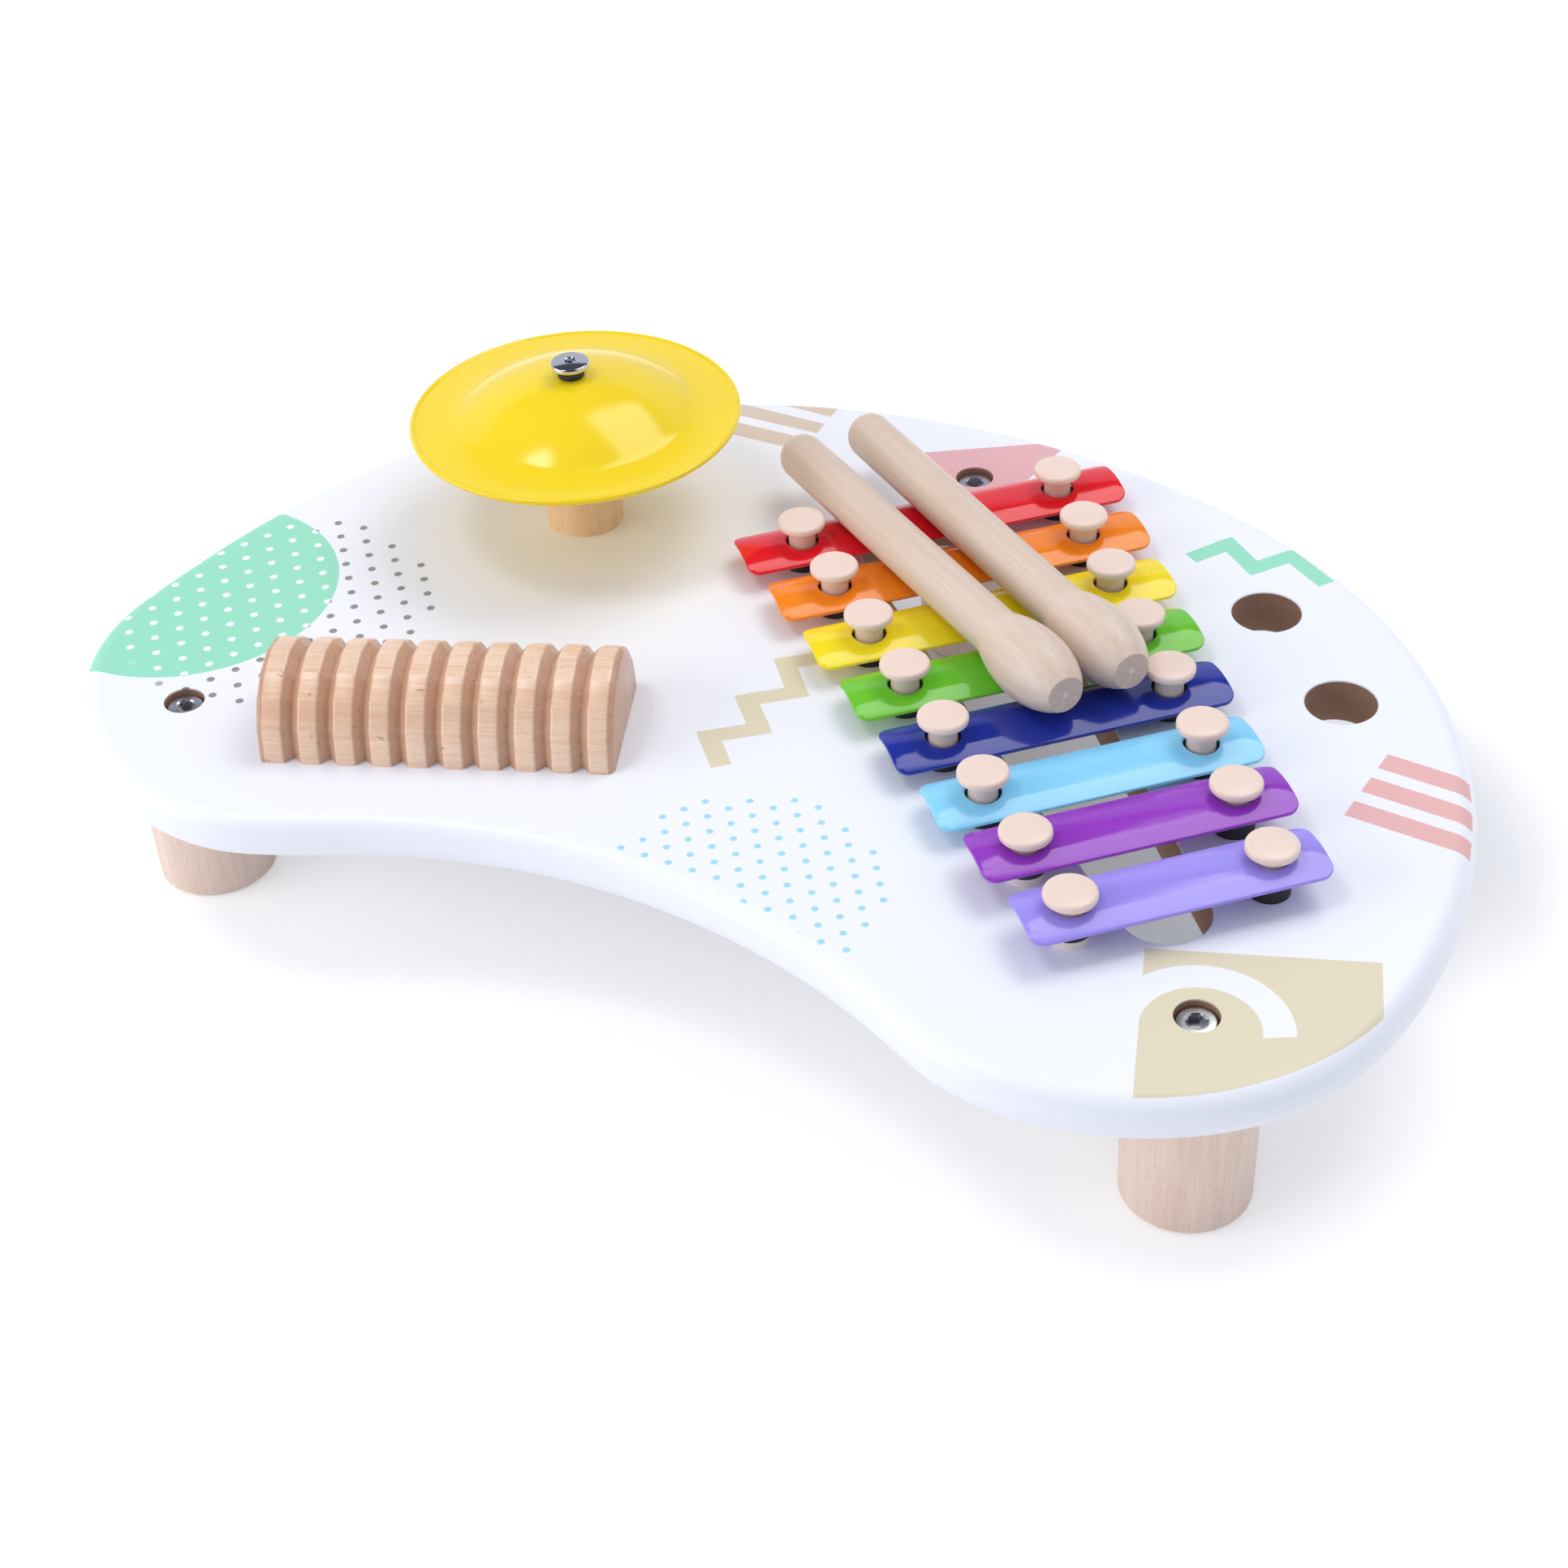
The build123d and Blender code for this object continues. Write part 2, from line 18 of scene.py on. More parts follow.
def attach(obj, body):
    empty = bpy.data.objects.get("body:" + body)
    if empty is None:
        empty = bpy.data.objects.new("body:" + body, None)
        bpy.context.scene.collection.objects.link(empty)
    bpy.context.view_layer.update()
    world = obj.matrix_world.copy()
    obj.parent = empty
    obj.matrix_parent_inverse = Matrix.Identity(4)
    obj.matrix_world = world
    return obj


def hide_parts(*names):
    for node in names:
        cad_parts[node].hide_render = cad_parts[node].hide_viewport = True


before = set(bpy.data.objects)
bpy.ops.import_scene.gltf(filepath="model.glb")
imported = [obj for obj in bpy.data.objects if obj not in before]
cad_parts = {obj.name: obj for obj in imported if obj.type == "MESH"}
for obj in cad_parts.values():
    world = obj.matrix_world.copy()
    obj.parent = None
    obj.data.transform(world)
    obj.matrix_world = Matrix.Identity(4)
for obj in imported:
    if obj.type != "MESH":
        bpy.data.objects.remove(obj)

LOG = logging.getLogger("activity_table")

MM = 0.001
BOARD_TOP = 63.0
LEG_CENTRES = {"left": (-165.0, -89.5), "right": (159.5, -104.5), "rear": (10.5, 113.5)}
HAIR = 0.01  # heights nearer to each other than this are the same
MERGED = 1e-4  # corners nearer to each other than this become one
ON_CUT = 1e-5  # corners nearer to a cut's plane than this lie on it
FACING_UP = 0.9  # a face with at least this much height in its normal looks up
WHITE = "#FFFFFF"

# Settings that many nodes share.
SMOOTH = {"interpolation_type": "SMOOTHSTEP"}
COLOURS = {"data_type": "RGBA"}
NUMBERS = {"data_type": "FLOAT"}

Point = tuple[float, float]
Place = tuple[float, float, float]
Colour = tuple[float, float, float, float]
Node = bpy.types.Node
Tree = bpy.types.NodeTree
Feed = bpy.types.Node | bpy.types.NodeSocket


class BarColour(Enum):
    """The eight sounding bars, from the longest to the shortest, each with its enamel."""

    RED = "#EC1828"
    ORANGE = "#FF8C1C"
    YELLOW = "#FFE620"
    GREEN = "#70CC30"
    DARK_BLUE = "#20329C"
    LIGHT_BLUE = "#90DCFF"
    PURPLE = "#9A3EC4"
    LAVENDER = "#A393F1"

    @property
    def word(self) -> str:
        """The colour's word in the frame's names."""
        return self.name.lower()


class Fold(Enum):
    """The two ways to make one printed shape of several, each with its node's operation."""

    CUT = "MINIMUM"
    JOIN = "MAXIMUM"


def linear(code: str) -> Colour:
    """Return an sRGB hex colour as linear red, green, blue and a full alpha."""
    shares = [int(code[start:start + 2], 16) / 255 for start in (1, 3, 5)]
    return (*[share / 12.92 if share <= 0.04045 else ((share + 0.055) / 1.055) ** 2.4
              for share in shares], 1.0)


def scaled(colour: Colour, red: float, green: float, blue: float) -> Colour:
    """Return a linear colour with each of its three parts scaled."""
    return (colour[0] * red, colour[1] * green, colour[2] * blue, 1.0)


def add_node(
    tree: Tree,
    kind: str,
    settings: dict[str, object] | None = None,
    inputs: dict[str | int, object] | None = None,
) -> Node:
    """Add one node with its settings and links.

    Args:
        tree: The tree that gets the node.
        kind: The node's type, without the word ShaderNode in front.
        settings: Its attributes and their values.
        inputs: Its sockets, by name or number, each with a value, with the socket that feeds it,
            or with a node, whose first output in use feeds it.

    Returns:
        The new node.
    """
    node = tree.nodes.new(f"ShaderNode{kind}")
    for name, value in (settings or {}).items():
        setattr(node, name, value)
    # Where sockets in use share a name, the first of them has it.
    named = {socket.name: socket for socket in reversed(node.inputs[:]) if socket.enabled}
    for key, value in (inputs or {}).items():
        target = node.inputs[key] if isinstance(key, int) else named[key]
        if isinstance(value, Node):
            value = next(output for output in value.outputs if output.enabled)
        if isinstance(value, bpy.types.NodeSocket):
            tree.links.new(value, target)
        else:
            target.default_value = value
    return node


@dataclass(frozen=True)
class Finish:
    """A finish: one named material with a Principled shader.

    Attributes:
        name: The material's name.
    """

    name: str

    def material(self) -> bpy.types.Material:
        """Make the finish's material.

        Returns:
            The new material.
        """
        material = bpy.data.materials.new(self.name)
        material.use_nodes = True
        tree = material.node_tree
        tree.nodes.clear()
        add_node(tree, "OutputMaterial", inputs={"Surface": self.dress(tree)})
        return material

    def dress(self, tree: Tree) -> Node:
        """Add the finish's nodes.

        Args:
            tree: The material's tree.

        Returns:
            The shader.
        """
        raise NotImplementedError

    def place(
        self,
        tree: Tree,
        steps: Place = (1.0, 1.0, 1.0),
        centre: Place = (0.0, 0.0, 0.0),
        turn: Place = (0.0, 0.0, 0.0),
    ) -> Node:
        """Return object coordinates counted in steps of a real size.

        Args:
            tree: The material's tree.
            steps: The step along each axis, in millimetres.
            centre: The pattern's origin, in millimetres.
            turn: The pattern's turn, in radians.

        Returns:
            The node that gives the coordinates.
        """
        source = add_node(tree, "TexCoord")
        return add_node(tree, "Mapping", {"vector_type": "TEXTURE"}, {
            "Vector": source.outputs["Object"],
            "Location": [value * MM for value in centre],
            "Rotation": turn,
            "Scale": [value * MM for value in steps],
        })


@dataclass(frozen=True)
class Enamel(Finish):
    """Stoved gloss enamel on steel sheet.

    The thick paint flows before it sets, so its clear shine is sharp but never quite flat: the
    highlights waver over about a centimetre, and a fine orange peel breaks their edges.

    Attributes:
        colour: The paint's colour.
        roughness: The roughness where the peel is low.
        flow_mm: The size of the slow waves.
        flow_height: Their height.
        peel_mm: The size of the orange peel.
        peel_height: Its height.
        deeper: How much of the colour is left where the paint is deepest.
        haze: How much rougher the peel's crests are.
        ior: The paint's index of refraction.
    """

    colour: str
    roughness: float = 0.09
    flow_mm: float = 9.0
    flow_height: float = 0.035
    peel_mm: float = 1.3
    peel_height: float = 0.0022
    deeper: float = 0.96
    haze: float = 0.06
    ior: float = 1.52

    def dress(self, tree: Tree) -> Node:
        """Add the enamel's nodes.

        Args:
            tree: The material's tree.

        Returns:
            The shader.
        """
        flow = add_node(tree, "TexNoise", inputs={
            "Vector": self.place(tree, (self.flow_mm,) * 3), "Scale": 1.0, "Detail": 2.0})
        peel = add_node(tree, "TexNoise", inputs={
            "Vector": self.place(tree, (self.peel_mm,) * 3), "Scale": 1.0, "Detail": 1.0})
        waves = add_node(tree, "Bump", inputs={
            "Distance": self.flow_height * MM, "Height": flow})
        skin = add_node(tree, "Bump", inputs={
            "Distance": self.peel_height * MM, "Height": peel, "Normal": waves})
        base = linear(self.colour)
        tone = add_node(tree, "Mix", COLOURS, {
            "Factor": flow, "A": scaled(base, self.deeper, self.deeper, self.deeper), "B": base})
        gloss = add_node(tree, "MapRange", inputs={
            "Value": peel, "To Min": self.roughness, "To Max": self.roughness + self.haze})
        return add_node(tree, "BsdfPrincipled", inputs={
            "Base Color": tone, "Roughness": gloss, "Normal": skin, "IOR": self.ior})


@dataclass(frozen=True)
class Wood(Finish):
    """Planed and turned beech under a thin clear satin lacquer.

    Beech is pale pinkish brown and even, with soft growth bands a few millimetres apart, fine
    vessel streaks, and short darker ray flecks about 2 mm long that lie along the grain.

    Attributes:
        light: The early wood's colour.
        dark: The late wood's colour.
        fleck: The ray flecks' colour.
        centre: The middle of the growth rings, in millimetres.
        turn: The turn that brings X to the grain's direction, in radians.
        roughness: The lacquer's roughness.
        band_mm: The growth bands' width.
        streak_mm: The vessel streaks' width.
        fleck_mm: The ray flecks' width.
        fleck_share: How far a fleck hides the wood.
        band_run: How many times longer than wide a band is.
        streak_run: The same for a streak.
        fleck_run: The same for a fleck.
        streak_part: How much of the tone the streaks make; the bands make the rest.
        tone_range: The tones that are fully dark and fully light.
        fleck_edge: Where a fleck's soft edge starts and ends, in fleck widths.
        pore_height: The height of the grain under the lacquer.
        sheen: What the streaks add to the roughness at their lowest and highest.
        ior: The lacquer's index of refraction.
    """

    light: str
    dark: str
    fleck: str
    centre: Place = (0.0, 0.0, 0.0)
    turn: Place = (0.0, math.pi / 2, 0.0)
    roughness: float = 0.42
    band_mm: float = 7.0
    streak_mm: float = 0.8
    fleck_mm: float = 0.75
    fleck_share: float = 0.4
    band_run: float = 14.0
    streak_run: float = 30.0
    fleck_run: float = 3.4
    streak_part: float = 0.45
    tone_range: Point = (0.33, 0.67)
    fleck_edge: Point = (0.14, 0.3)
    pore_height: float = 0.03
    sheen: Point = (0.1, -0.06)
    ior: float = 1.5

    def grain(self, tree: Tree, across: float = 1.0, run: float = 1.0) -> Node:
        """Return coordinates in steps across the grain that are this many times longer along it."""
        return self.place(tree, (across * run, across, across), self.centre, self.turn)

    def colour(self, tree: Tree) -> tuple[Node, Node]:
        """Add the nodes that colour the wood.

        Args:
            tree: The material's tree.

        Returns:
            The wood's colour, and its fine streaks as a height.
        """
        bands = add_node(tree, "TexNoise", inputs={
            "Vector": self.grain(tree, self.band_mm, self.band_run), "Scale": 1.0,
            "Detail": 2.5, "Distortion": 0.4})
        streaks = add_node(tree, "TexNoise", inputs={
            "Vector": self.grain(tree, self.streak_mm, self.streak_run), "Scale": 1.0,
            "Detail": 3.0, "Roughness": 0.6})
        flecks = add_node(tree, "TexVoronoi", inputs={
            "Vector": self.grain(tree, self.fleck_mm, self.fleck_run), "Scale": 1.0})
        tone = add_node(tree, "Mix", NUMBERS, {
            "Factor": self.streak_part, "A": bands, "B": streaks})
        spread = add_node(tree, "MapRange", SMOOTH, {
            "Value": tone, "From Min": self.tone_range[0], "From Max": self.tone_range[1]})
        wood = add_node(tree, "Mix", COLOURS, {
            "Factor": spread, "A": linear(self.dark), "B": linear(self.light)})
        dash = add_node(tree, "MapRange", SMOOTH, {
            "Value": flecks.outputs["Distance"], "From Min": self.fleck_edge[0],
            "From Max": self.fleck_edge[1], "To Min": self.fleck_share, "To Max": 0.0})
        flecked = add_node(tree, "Mix", COLOURS, {
            "Factor": dash, "A": wood, "B": linear(self.fleck)})
        return flecked, streaks

    def dress(self, tree: Tree) -> Node:
        """Add the wood's nodes.

        Args:
            tree: The material's tree.

        Returns:
            The shader.
        """
        colour, streaks = self.colour(tree)
        pores = add_node(tree, "Bump", inputs={
            "Distance": self.pore_height * MM, "Height": streaks})
        gloss = add_node(tree, "MapRange", inputs={
            "Value": streaks, "To Min": self.roughness + self.sheen[0],
            "To Max": self.roughness + self.sheen[1]})
        return add_node(tree, "BsdfPrincipled", inputs={
            "Base Color": colour, "Roughness": gloss, "Normal": pores, "IOR": self.ior})


@dataclass(frozen=True)
class RibbedWood(Wood):
    """The scraper's beech, with painted shade in its grooves: their walls are coloured redder and
    darker, and a few ribs have small splinters torn out of their crowns.

    Attributes:
        pitch_mm: The grooves' spacing.
        groove_mm: A groove's width.
        wall: The colour of the painted shade on the grooves' walls.
        groove_shade_edge: Where the painted shade's soft edge starts and ends, as shares of the
            groove's width.
        groove_shade_share: How far the painted shade hides the wood.
        tear_mm: The splinters' width.
        tear_run: How many times longer than wide they are.
        tear_edge: The noise at which a splinter starts and at which it is whole.
        tear_share: How far its colour hides the wood.
        tear_depth: How many times deeper than the streaks it is.
        scar: The torn wood's colour.
    """

    pitch_mm: float = 10.7
    groove_mm: float = 5.5
    # The painted shade in the grooves: its colour, its soft edge and how far it hides the wood.
    wall: str = "#A56A45"
    groove_shade_edge: Point = (0.4, 0.52)
    groove_shade_share: float = 0.55
    tear_mm: float = 2.2
    tear_run: float = 5.0 / 2.2
    tear_edge: Point = (0.66, 0.74)
    tear_share: float = 0.5
    tear_depth: float = 6.0
    scar: str = "#B98A66"
    pore_height: float = 0.045

    def dress(self, tree: Tree) -> Node:
        """Add the ribbed wood's nodes.

        Args:
            tree: The material's tree.

        Returns:
            The shader.
        """
        colour, streaks = self.colour(tree)
        axes = add_node(tree, "SeparateXYZ", inputs={"Vector": self.grain(tree)})
        # Painted shade: the grooves' walls are coloured darker and redder, fading out towards the
        # crowns.
        beat = add_node(tree, "Math", {"operation": "PINGPONG"}, {
            0: axes.outputs["X"], 1: self.pitch_mm / 2})
        wall = add_node(tree, "MapRange", SMOOTH, {
            "Value": beat, "From Min": self.groove_mm * self.groove_shade_edge[0],
            "From Max": self.groove_mm * self.groove_shade_edge[1], "To Min": self.groove_shade_share,
            "To Max": 0.0})
        walls = add_node(tree, "Mix", COLOURS, {
            "Factor": wall, "A": colour, "B": linear(self.wall)})
        tears = add_node(tree, "TexNoise", inputs={
            "Vector": self.grain(tree, self.tear_mm, self.tear_run), "Scale": 1.0,
            "Detail": 4.0, "Roughness": 0.65})
        torn = add_node(tree, "MapRange", SMOOTH, {
            "Value": tears, "From Min": self.tear_edge[0], "From Max": self.tear_edge[1]})
        scar = add_node(tree, "Math", {"operation": "MULTIPLY"}, {0: torn, 1: self.tear_share})
        scarred = add_node(tree, "Mix", COLOURS, {
            "Factor": scar, "A": walls, "B": linear(self.scar)})
        depth = add_node(tree, "Math", {"operation": "MULTIPLY_ADD"}, {
            0: torn, 1: -self.tear_depth, 2: streaks})
        relief = add_node(tree, "Bump", inputs={
            "Distance": self.pore_height * MM, "Height": depth})
        return add_node(tree, "BsdfPrincipled", inputs={
            "Base Color": scarred, "Roughness": self.roughness, "Normal": relief,
            "IOR": self.ior})


@dataclass(frozen=True)
class MalletWood(Wood):
    """A turned mallet: smooth pale wood, with the bare end grain of the head pinker than the
    sides and a small pale mark in its middle, where the lathe's centre stood.

    Attributes:
        end: The end grain's colour.
        end_dark: The colour of its rings.
        end_mm: How far in from the end the end grain starts to show and is whole.
        end_share: How far it hides the wood.
        ring_mm: The rings' width.
        mark: The mark's colour.
        mark_mm: The radius at which the mark ends and up to which it is whole.
        mark_share: How far the mark hides the end grain.
    """

    end: str = "#F2D4BE"
    end_dark: str = "#CBA892"
    end_mm: Point = (0.35, 0.21)
    end_share: float = 0.85
    ring_mm: float = 1.6
    mark: str = "#F6EDE4"
    mark_mm: Point = (1.1, 0.55)
    mark_share: float = 0.8
    pore_height: float = 0.02

    def dress(self, tree: Tree) -> Node:
        """Add the mallet wood's nodes.

        Args:
            tree: The material's tree.

        Returns:
            The shader.
        """
        colour, streaks = self.colour(tree)
        axes = add_node(tree, "SeparateXYZ", inputs={"Vector": self.grain(tree)})
        reach = add_node(tree, "CombineXYZ", inputs={
            "Y": axes.outputs["Y"], "Z": axes.outputs["Z"]})
        radius = add_node(tree, "VectorMath", {"operation": "LENGTH"}, {0: reach})
        at_end = add_node(tree, "MapRange", inputs={
            "Value": axes.outputs["X"], "From Min": self.end_mm[1], "From Max": self.end_mm[0],
            "To Min": self.end_share, "To Max": 0.0})
        rings = add_node(tree, "TexNoise", inputs={
            "Vector": self.grain(tree, self.ring_mm, 1.0 / self.ring_mm), "Scale": 1.0,
            "Detail": 4.0})
        ringed = add_node(tree, "Mix", COLOURS, {
            "Factor": rings, "A": linear(self.end_dark), "B": linear(self.end)})
        at_mark = add_node(tree, "MapRange", inputs={
            "Value": radius, "From Min": self.mark_mm[1], "From Max": self.mark_mm[0],
            "To Min": self.mark_share, "To Max": 0.0})
        marked = add_node(tree, "Mix", COLOURS, {
            "Factor": at_mark, "A": ringed, "B": linear(self.mark)})
        wood = add_node(tree, "Mix", COLOURS, {"Factor": at_end, "A": colour, "B": marked})
        pores = add_node(tree, "Bump", inputs={
            "Distance": self.pore_height * MM, "Height": streaks})
        return add_node(tree, "BsdfPrincipled", inputs={
            "Base Color": wood, "Roughness": self.roughness, "Normal": pores, "IOR": self.ior})


@dataclass(frozen=True)
class MouldedPlastic(Finish):
    """Moulded cream plastic: smooth, with a soft broad shine and the faintest clouding.

    Attributes:
        colour: The plastic's colour.
        roughness: Its roughness.
        cloud_mm: The clouds' size.
        warmth: How much of its red, green and blue is left in a cloud.
        grit_mm: The size of the mould's fine grit.
        grit_height: The grit's height.
        ior: The plastic's index of refraction.
    """

    colour: str
    roughness: float = 0.3
    cloud_mm: float = 4.0
    warmth: Place = (1.0, 0.96, 0.93)
    grit_mm: float = 0.5
    grit_height: float = 0.0015
    ior: float = 1.49

    def dress(self, tree: Tree) -> Node:
        """Add the plastic's nodes.

        Args:
            tree: The material's tree.

        Returns:
            The shader.
        """
        cloud = add_node(tree, "TexNoise", inputs={
            "Vector": self.place(tree, (self.cloud_mm,) * 3), "Scale": 1.0, "Detail": 2.0})
        base = linear(self.colour)
        tone = add_node(tree, "Mix", COLOURS, {
            "Factor": cloud, "A": base, "B": scaled(base, *self.warmth)})
        grit = add_node(tree, "TexNoise", inputs={
            "Vector": self.place(tree, (self.grit_mm,) * 3), "Scale": 1.0, "Detail": 2.0})
        skin = add_node(tree, "Bump", inputs={
            "Distance": self.grit_height * MM, "Height": grit})
        return add_node(tree, "BsdfPrincipled", inputs={
            "Base Color": tone, "Roughness": self.roughness, "Normal": skin, "IOR": self.ior})


@dataclass(frozen=True)
class Rubber(Finish):
    """Matt black moulded rubber with a fine, slightly dusty grain.

    Attributes:
        colour: The rubber's colour.
        dust: Its colour on the grain's crests.
        grain_mm: The grain's size.
        grain_height: The grain's height.
        roughness: Its roughness.
        ior: The rubber's index of refraction.
    """

    colour: str = "#232326"
    dust: str = "#333338"
    grain_mm: float = 0.4
    grain_height: float = 0.02
    roughness: float = 0.62
    ior: float = 1.52

    def dress(self, tree: Tree) -> Node:
        """Add the rubber's nodes.

        Args:
            tree: The material's tree.

        Returns:
            The shader.
        """
        grain = add_node(tree, "TexNoise", inputs={
            "Vector": self.place(tree, (self.grain_mm,) * 3), "Scale": 1.0, "Detail": 4.0})
        dusty = add_node(tree, "Mix", COLOURS, {
            "Factor": grain, "A": linear(self.colour), "B": linear(self.dust)})
        skin = add_node(tree, "Bump", inputs={
            "Distance": self.grain_height * MM, "Height": grain})
        return add_node(tree, "BsdfPrincipled", inputs={
            "Base Color": dusty, "Roughness": self.roughness, "Normal": skin, "IOR": self.ior})


@dataclass(frozen=True)
class TurnedMetal(Finish):
    """Bare or plated metal with the fine rings that the lathe or the die leaves round its axis.

    Attributes:
        colour: The metal's colour.
        roughness: How far its shine is spread.
        centre: A point on the axis, in millimetres.
        ring_mm: Half the rings' spacing. Real ones are finer and are drawn this coarse to show.
        ring_height: Their height.
        half_rings: How many half rings the pattern has in one unit.
        spot_mm: The size of duller spots.
        dull: How much of the colour is left in a spot.
        spread: The lowest and highest roughness, as shares of the usual one.
    """

    colour: str
    roughness: float
    centre: Place = (0.0, 0.0, 0.0)
    ring_mm: float = 0.5
    ring_height: float = 0.004
    half_rings: float = 6.28
    spot_mm: float = 1.5
    dull: float = 0.82
    spread: Point = (0.8, 1.25)

    def dress(self, tree: Tree) -> Node:
        """Add the metal's nodes.

        Args:
            tree: The material's tree.

        Returns:
            The shader.
        """
        step = self.ring_mm * self.half_rings
        rings = add_node(tree, "TexWave", {"wave_type": "RINGS", "rings_direction": "Z"}, {
            "Vector": self.place(tree, (step,) * 3, self.centre), "Scale": 1.0,
            "Distortion": 1.5, "Detail": 2.0})
        spots = add_node(tree, "TexNoise", inputs={
            "Vector": self.place(tree, (self.spot_mm,) * 3), "Scale": 1.0, "Detail": 4.0})
        skin = add_node(tree, "Bump", inputs={
            "Distance": self.ring_height * MM, "Height": rings.outputs["Fac"]})
        gloss = add_node(tree, "MapRange", inputs={
            "Value": spots, "To Min": self.roughness * self.spread[0],
            "To Max": self.roughness * self.spread[1]})
        base = linear(self.colour)
        tone = add_node(tree, "Mix", COLOURS, {
            "Factor": spots, "A": scaled(base, self.dull, self.dull, self.dull), "B": base})
        return add_node(tree, "BsdfPrincipled", inputs={
            "Base Color": tone, "Metallic": 1.0, "Roughness": gloss, "Normal": skin})


@dataclass(frozen=True)
class Dots:
    """Staggered rows of dots, whole ones only, in a round patch.

    Attributes:
        origin: One dot's centre.
        angle: The rows' direction in degrees.
        pitch: The spacing along a row.
        row: The spacing of the rows.
        radius: A dot's radius.
        patch: The patch's centre.
        patch_radius: How far the last dots' centres are from it.
    """

    origin: Point
    angle: float
    pitch: float
    row: float
    radius: float
    patch: Point
    patch_radius: float


class Print:
    """The plain shapes printed on the board.

    Every shape is a node or socket that gives the distance in millimetres to the shape's edge,
    positive inside it, so that shapes are cut by the least and joined by the greatest of them.
    """

    def __init__(self, tree: Tree, place: Node) -> None:
        """Split the board's coordinates.

        Args:
            tree: The board's material.
            place: Object coordinates in millimetres.
        """
        axes = add_node(tree, "SeparateXYZ", inputs={"Vector": place}).outputs
        self.tree = tree
        self.height = axes["Z"]
        self.flat = add_node(tree, "CombineXYZ", inputs={"X": axes["X"], "Y": axes["Y"]})
        self.line = add_node(tree, "CombineXYZ", inputs={"X": axes["X"], "Y": axes["Y"], "Z": 1.0})

    def fold(self, way: Fold, shapes: Sequence[Feed]) -> Feed:
        """Make one shape of several.

        Args:
            way: Whether they are cut or joined.
            shapes: The shapes.

        Returns:
            The new shape.
        """
        result = shapes[0]
        for shape in shapes[1:]:
            result = add_node(self.tree, "Math", {"operation": way.value}, {0: result, 1: shape})
        return result

    def cut(self, *shapes: Feed) -> Feed:
        """Return what all these shapes have in common."""
        return self.fold(Fold.CUT, shapes)

    def join(self, *shapes: Feed) -> Feed:
        """Return all these shapes as one."""
        return self.fold(Fold.JOIN, shapes)

    def above(self, height: float) -> Node:
        """Return everything above a height."""
        return add_node(self.tree, "Math", {"operation": "SUBTRACT"}, {0: self.height, 1: height})

    def side(self, start: Point, end: Point) -> Node:
        """Make the shape of everything on one side of a line.

        Args:
            start: A point on the line.
            end: Another, so that the shape lies to the left on the way there.

        Returns:
            The shape.
        """
        way = (Vector(end) - Vector(start)).normalized()
        across = Vector((-way.y, way.x))
        return add_node(self.tree, "VectorMath", {"operation": "DOT_PRODUCT"}, {
            0: self.line, 1: (across.x, across.y, -across.dot(Vector(start)))})

    def polygon(self, corners: Sequence[Point]) -> Feed:
        """Return a convex shape from its corners, which go round to the left."""
        pairs = zip(corners, [*corners[1:], corners[0]])
        return self.cut(*[self.side(start, end) for start, end in pairs])

    def stripe(self, start: Point, end: Point, width: float, overrun: float = 0.0) -> Feed:
        """Make a straight stripe with square ends.

        Args:
            start: The middle of one end.
            end: The middle of the other.
            width: The stripe's width.
            overrun: How far it runs on past both.

        Returns:
            The shape.
        """
        way = (Vector(end) - Vector(start)).normalized()
        across = Vector((-way.y, way.x)) * width / 2
        first = Vector(start) - way * overrun
        last = Vector(end) + way * overrun
        return self.polygon([tuple(first - across), tuple(last - across), tuple(last + across),
                             tuple(first + across)])

    def zigzag(self, bends: Sequence[Point], width: float) -> Feed:
        """Make a band with square bends and square ends.

        Args:
            bends: The points along its middle.
            width: Its width.

        Returns:
            The shape.
        """
        inner = range(1, len(bends) - 2)
        return self.join(*[
            self.stripe(start, end, width, width / 2 if number in inner else 0.0)
            for number, (start, end) in enumerate(zip(bends, bends[1:]))
        ])

    def disc(self, centre: Point, radius: float) -> Node:
        """Return a disc."""
        reach = add_node(self.tree, "VectorMath", {"operation": "DISTANCE"}, {
            0: self.flat, 1: (*centre, 0.0)})
        return add_node(self.tree, "Math", {"operation": "SUBTRACT"}, {0: radius, 1: reach})

    def outside(self, shape: Feed) -> Node:
        """Return everything but the shape."""
        return add_node(self.tree, "Math", {"operation": "MULTIPLY"}, {0: shape, 1: -1.0})

    def dots(self, grid: Dots) -> Feed:
        """Make rows of dots: two grids, the second half a step on from the first.

        Args:
            grid: The rows' sizes and places.

        Returns:
            The dots' shape.
        """
        tree = self.tree
        patch = (Matrix.Rotation(-math.radians(grid.angle), 2)
                 @ (Vector(grid.patch) - Vector(grid.origin)))
        local = add_node(tree, "Mapping", {"vector_type": "TEXTURE"}, {
            "Vector": self.flat, "Location": (*grid.origin, 0.0),
            "Rotation": (0.0, 0.0, math.radians(grid.angle))})
        half = (grid.pitch / 2, grid.row)
        sets = []
        for shift in ((0.0, 0.0, 0.0), (*half, 0.0)):
            moved = add_node(tree, "VectorMath", {"operation": "SUBTRACT"}, {0: local, 1: shift})
            offset = add_node(tree, "VectorMath", {"operation": "WRAP"}, {
                0: moved, 1: (*half, 1.0), 2: (-half[0], -half[1], -1.0)})
            reach = add_node(tree, "VectorMath", {"operation": "LENGTH"}, {0: offset})
            dot = add_node(tree, "Math", {"operation": "SUBTRACT"}, {0: grid.radius, 1: reach})
            centre = add_node(tree, "VectorMath", {"operation": "SUBTRACT"}, {
                0: local, 1: offset})
            away = add_node(tree, "VectorMath", {"operation": "DISTANCE"}, {
                0: centre, 1: (*patch, 0.0)})
            kept = add_node(tree, "Math", {"operation": "SUBTRACT"}, {
                0: grid.patch_radius, 1: away})
            sets.append(self.cut(dot, kept))
        return self.join(*sets)

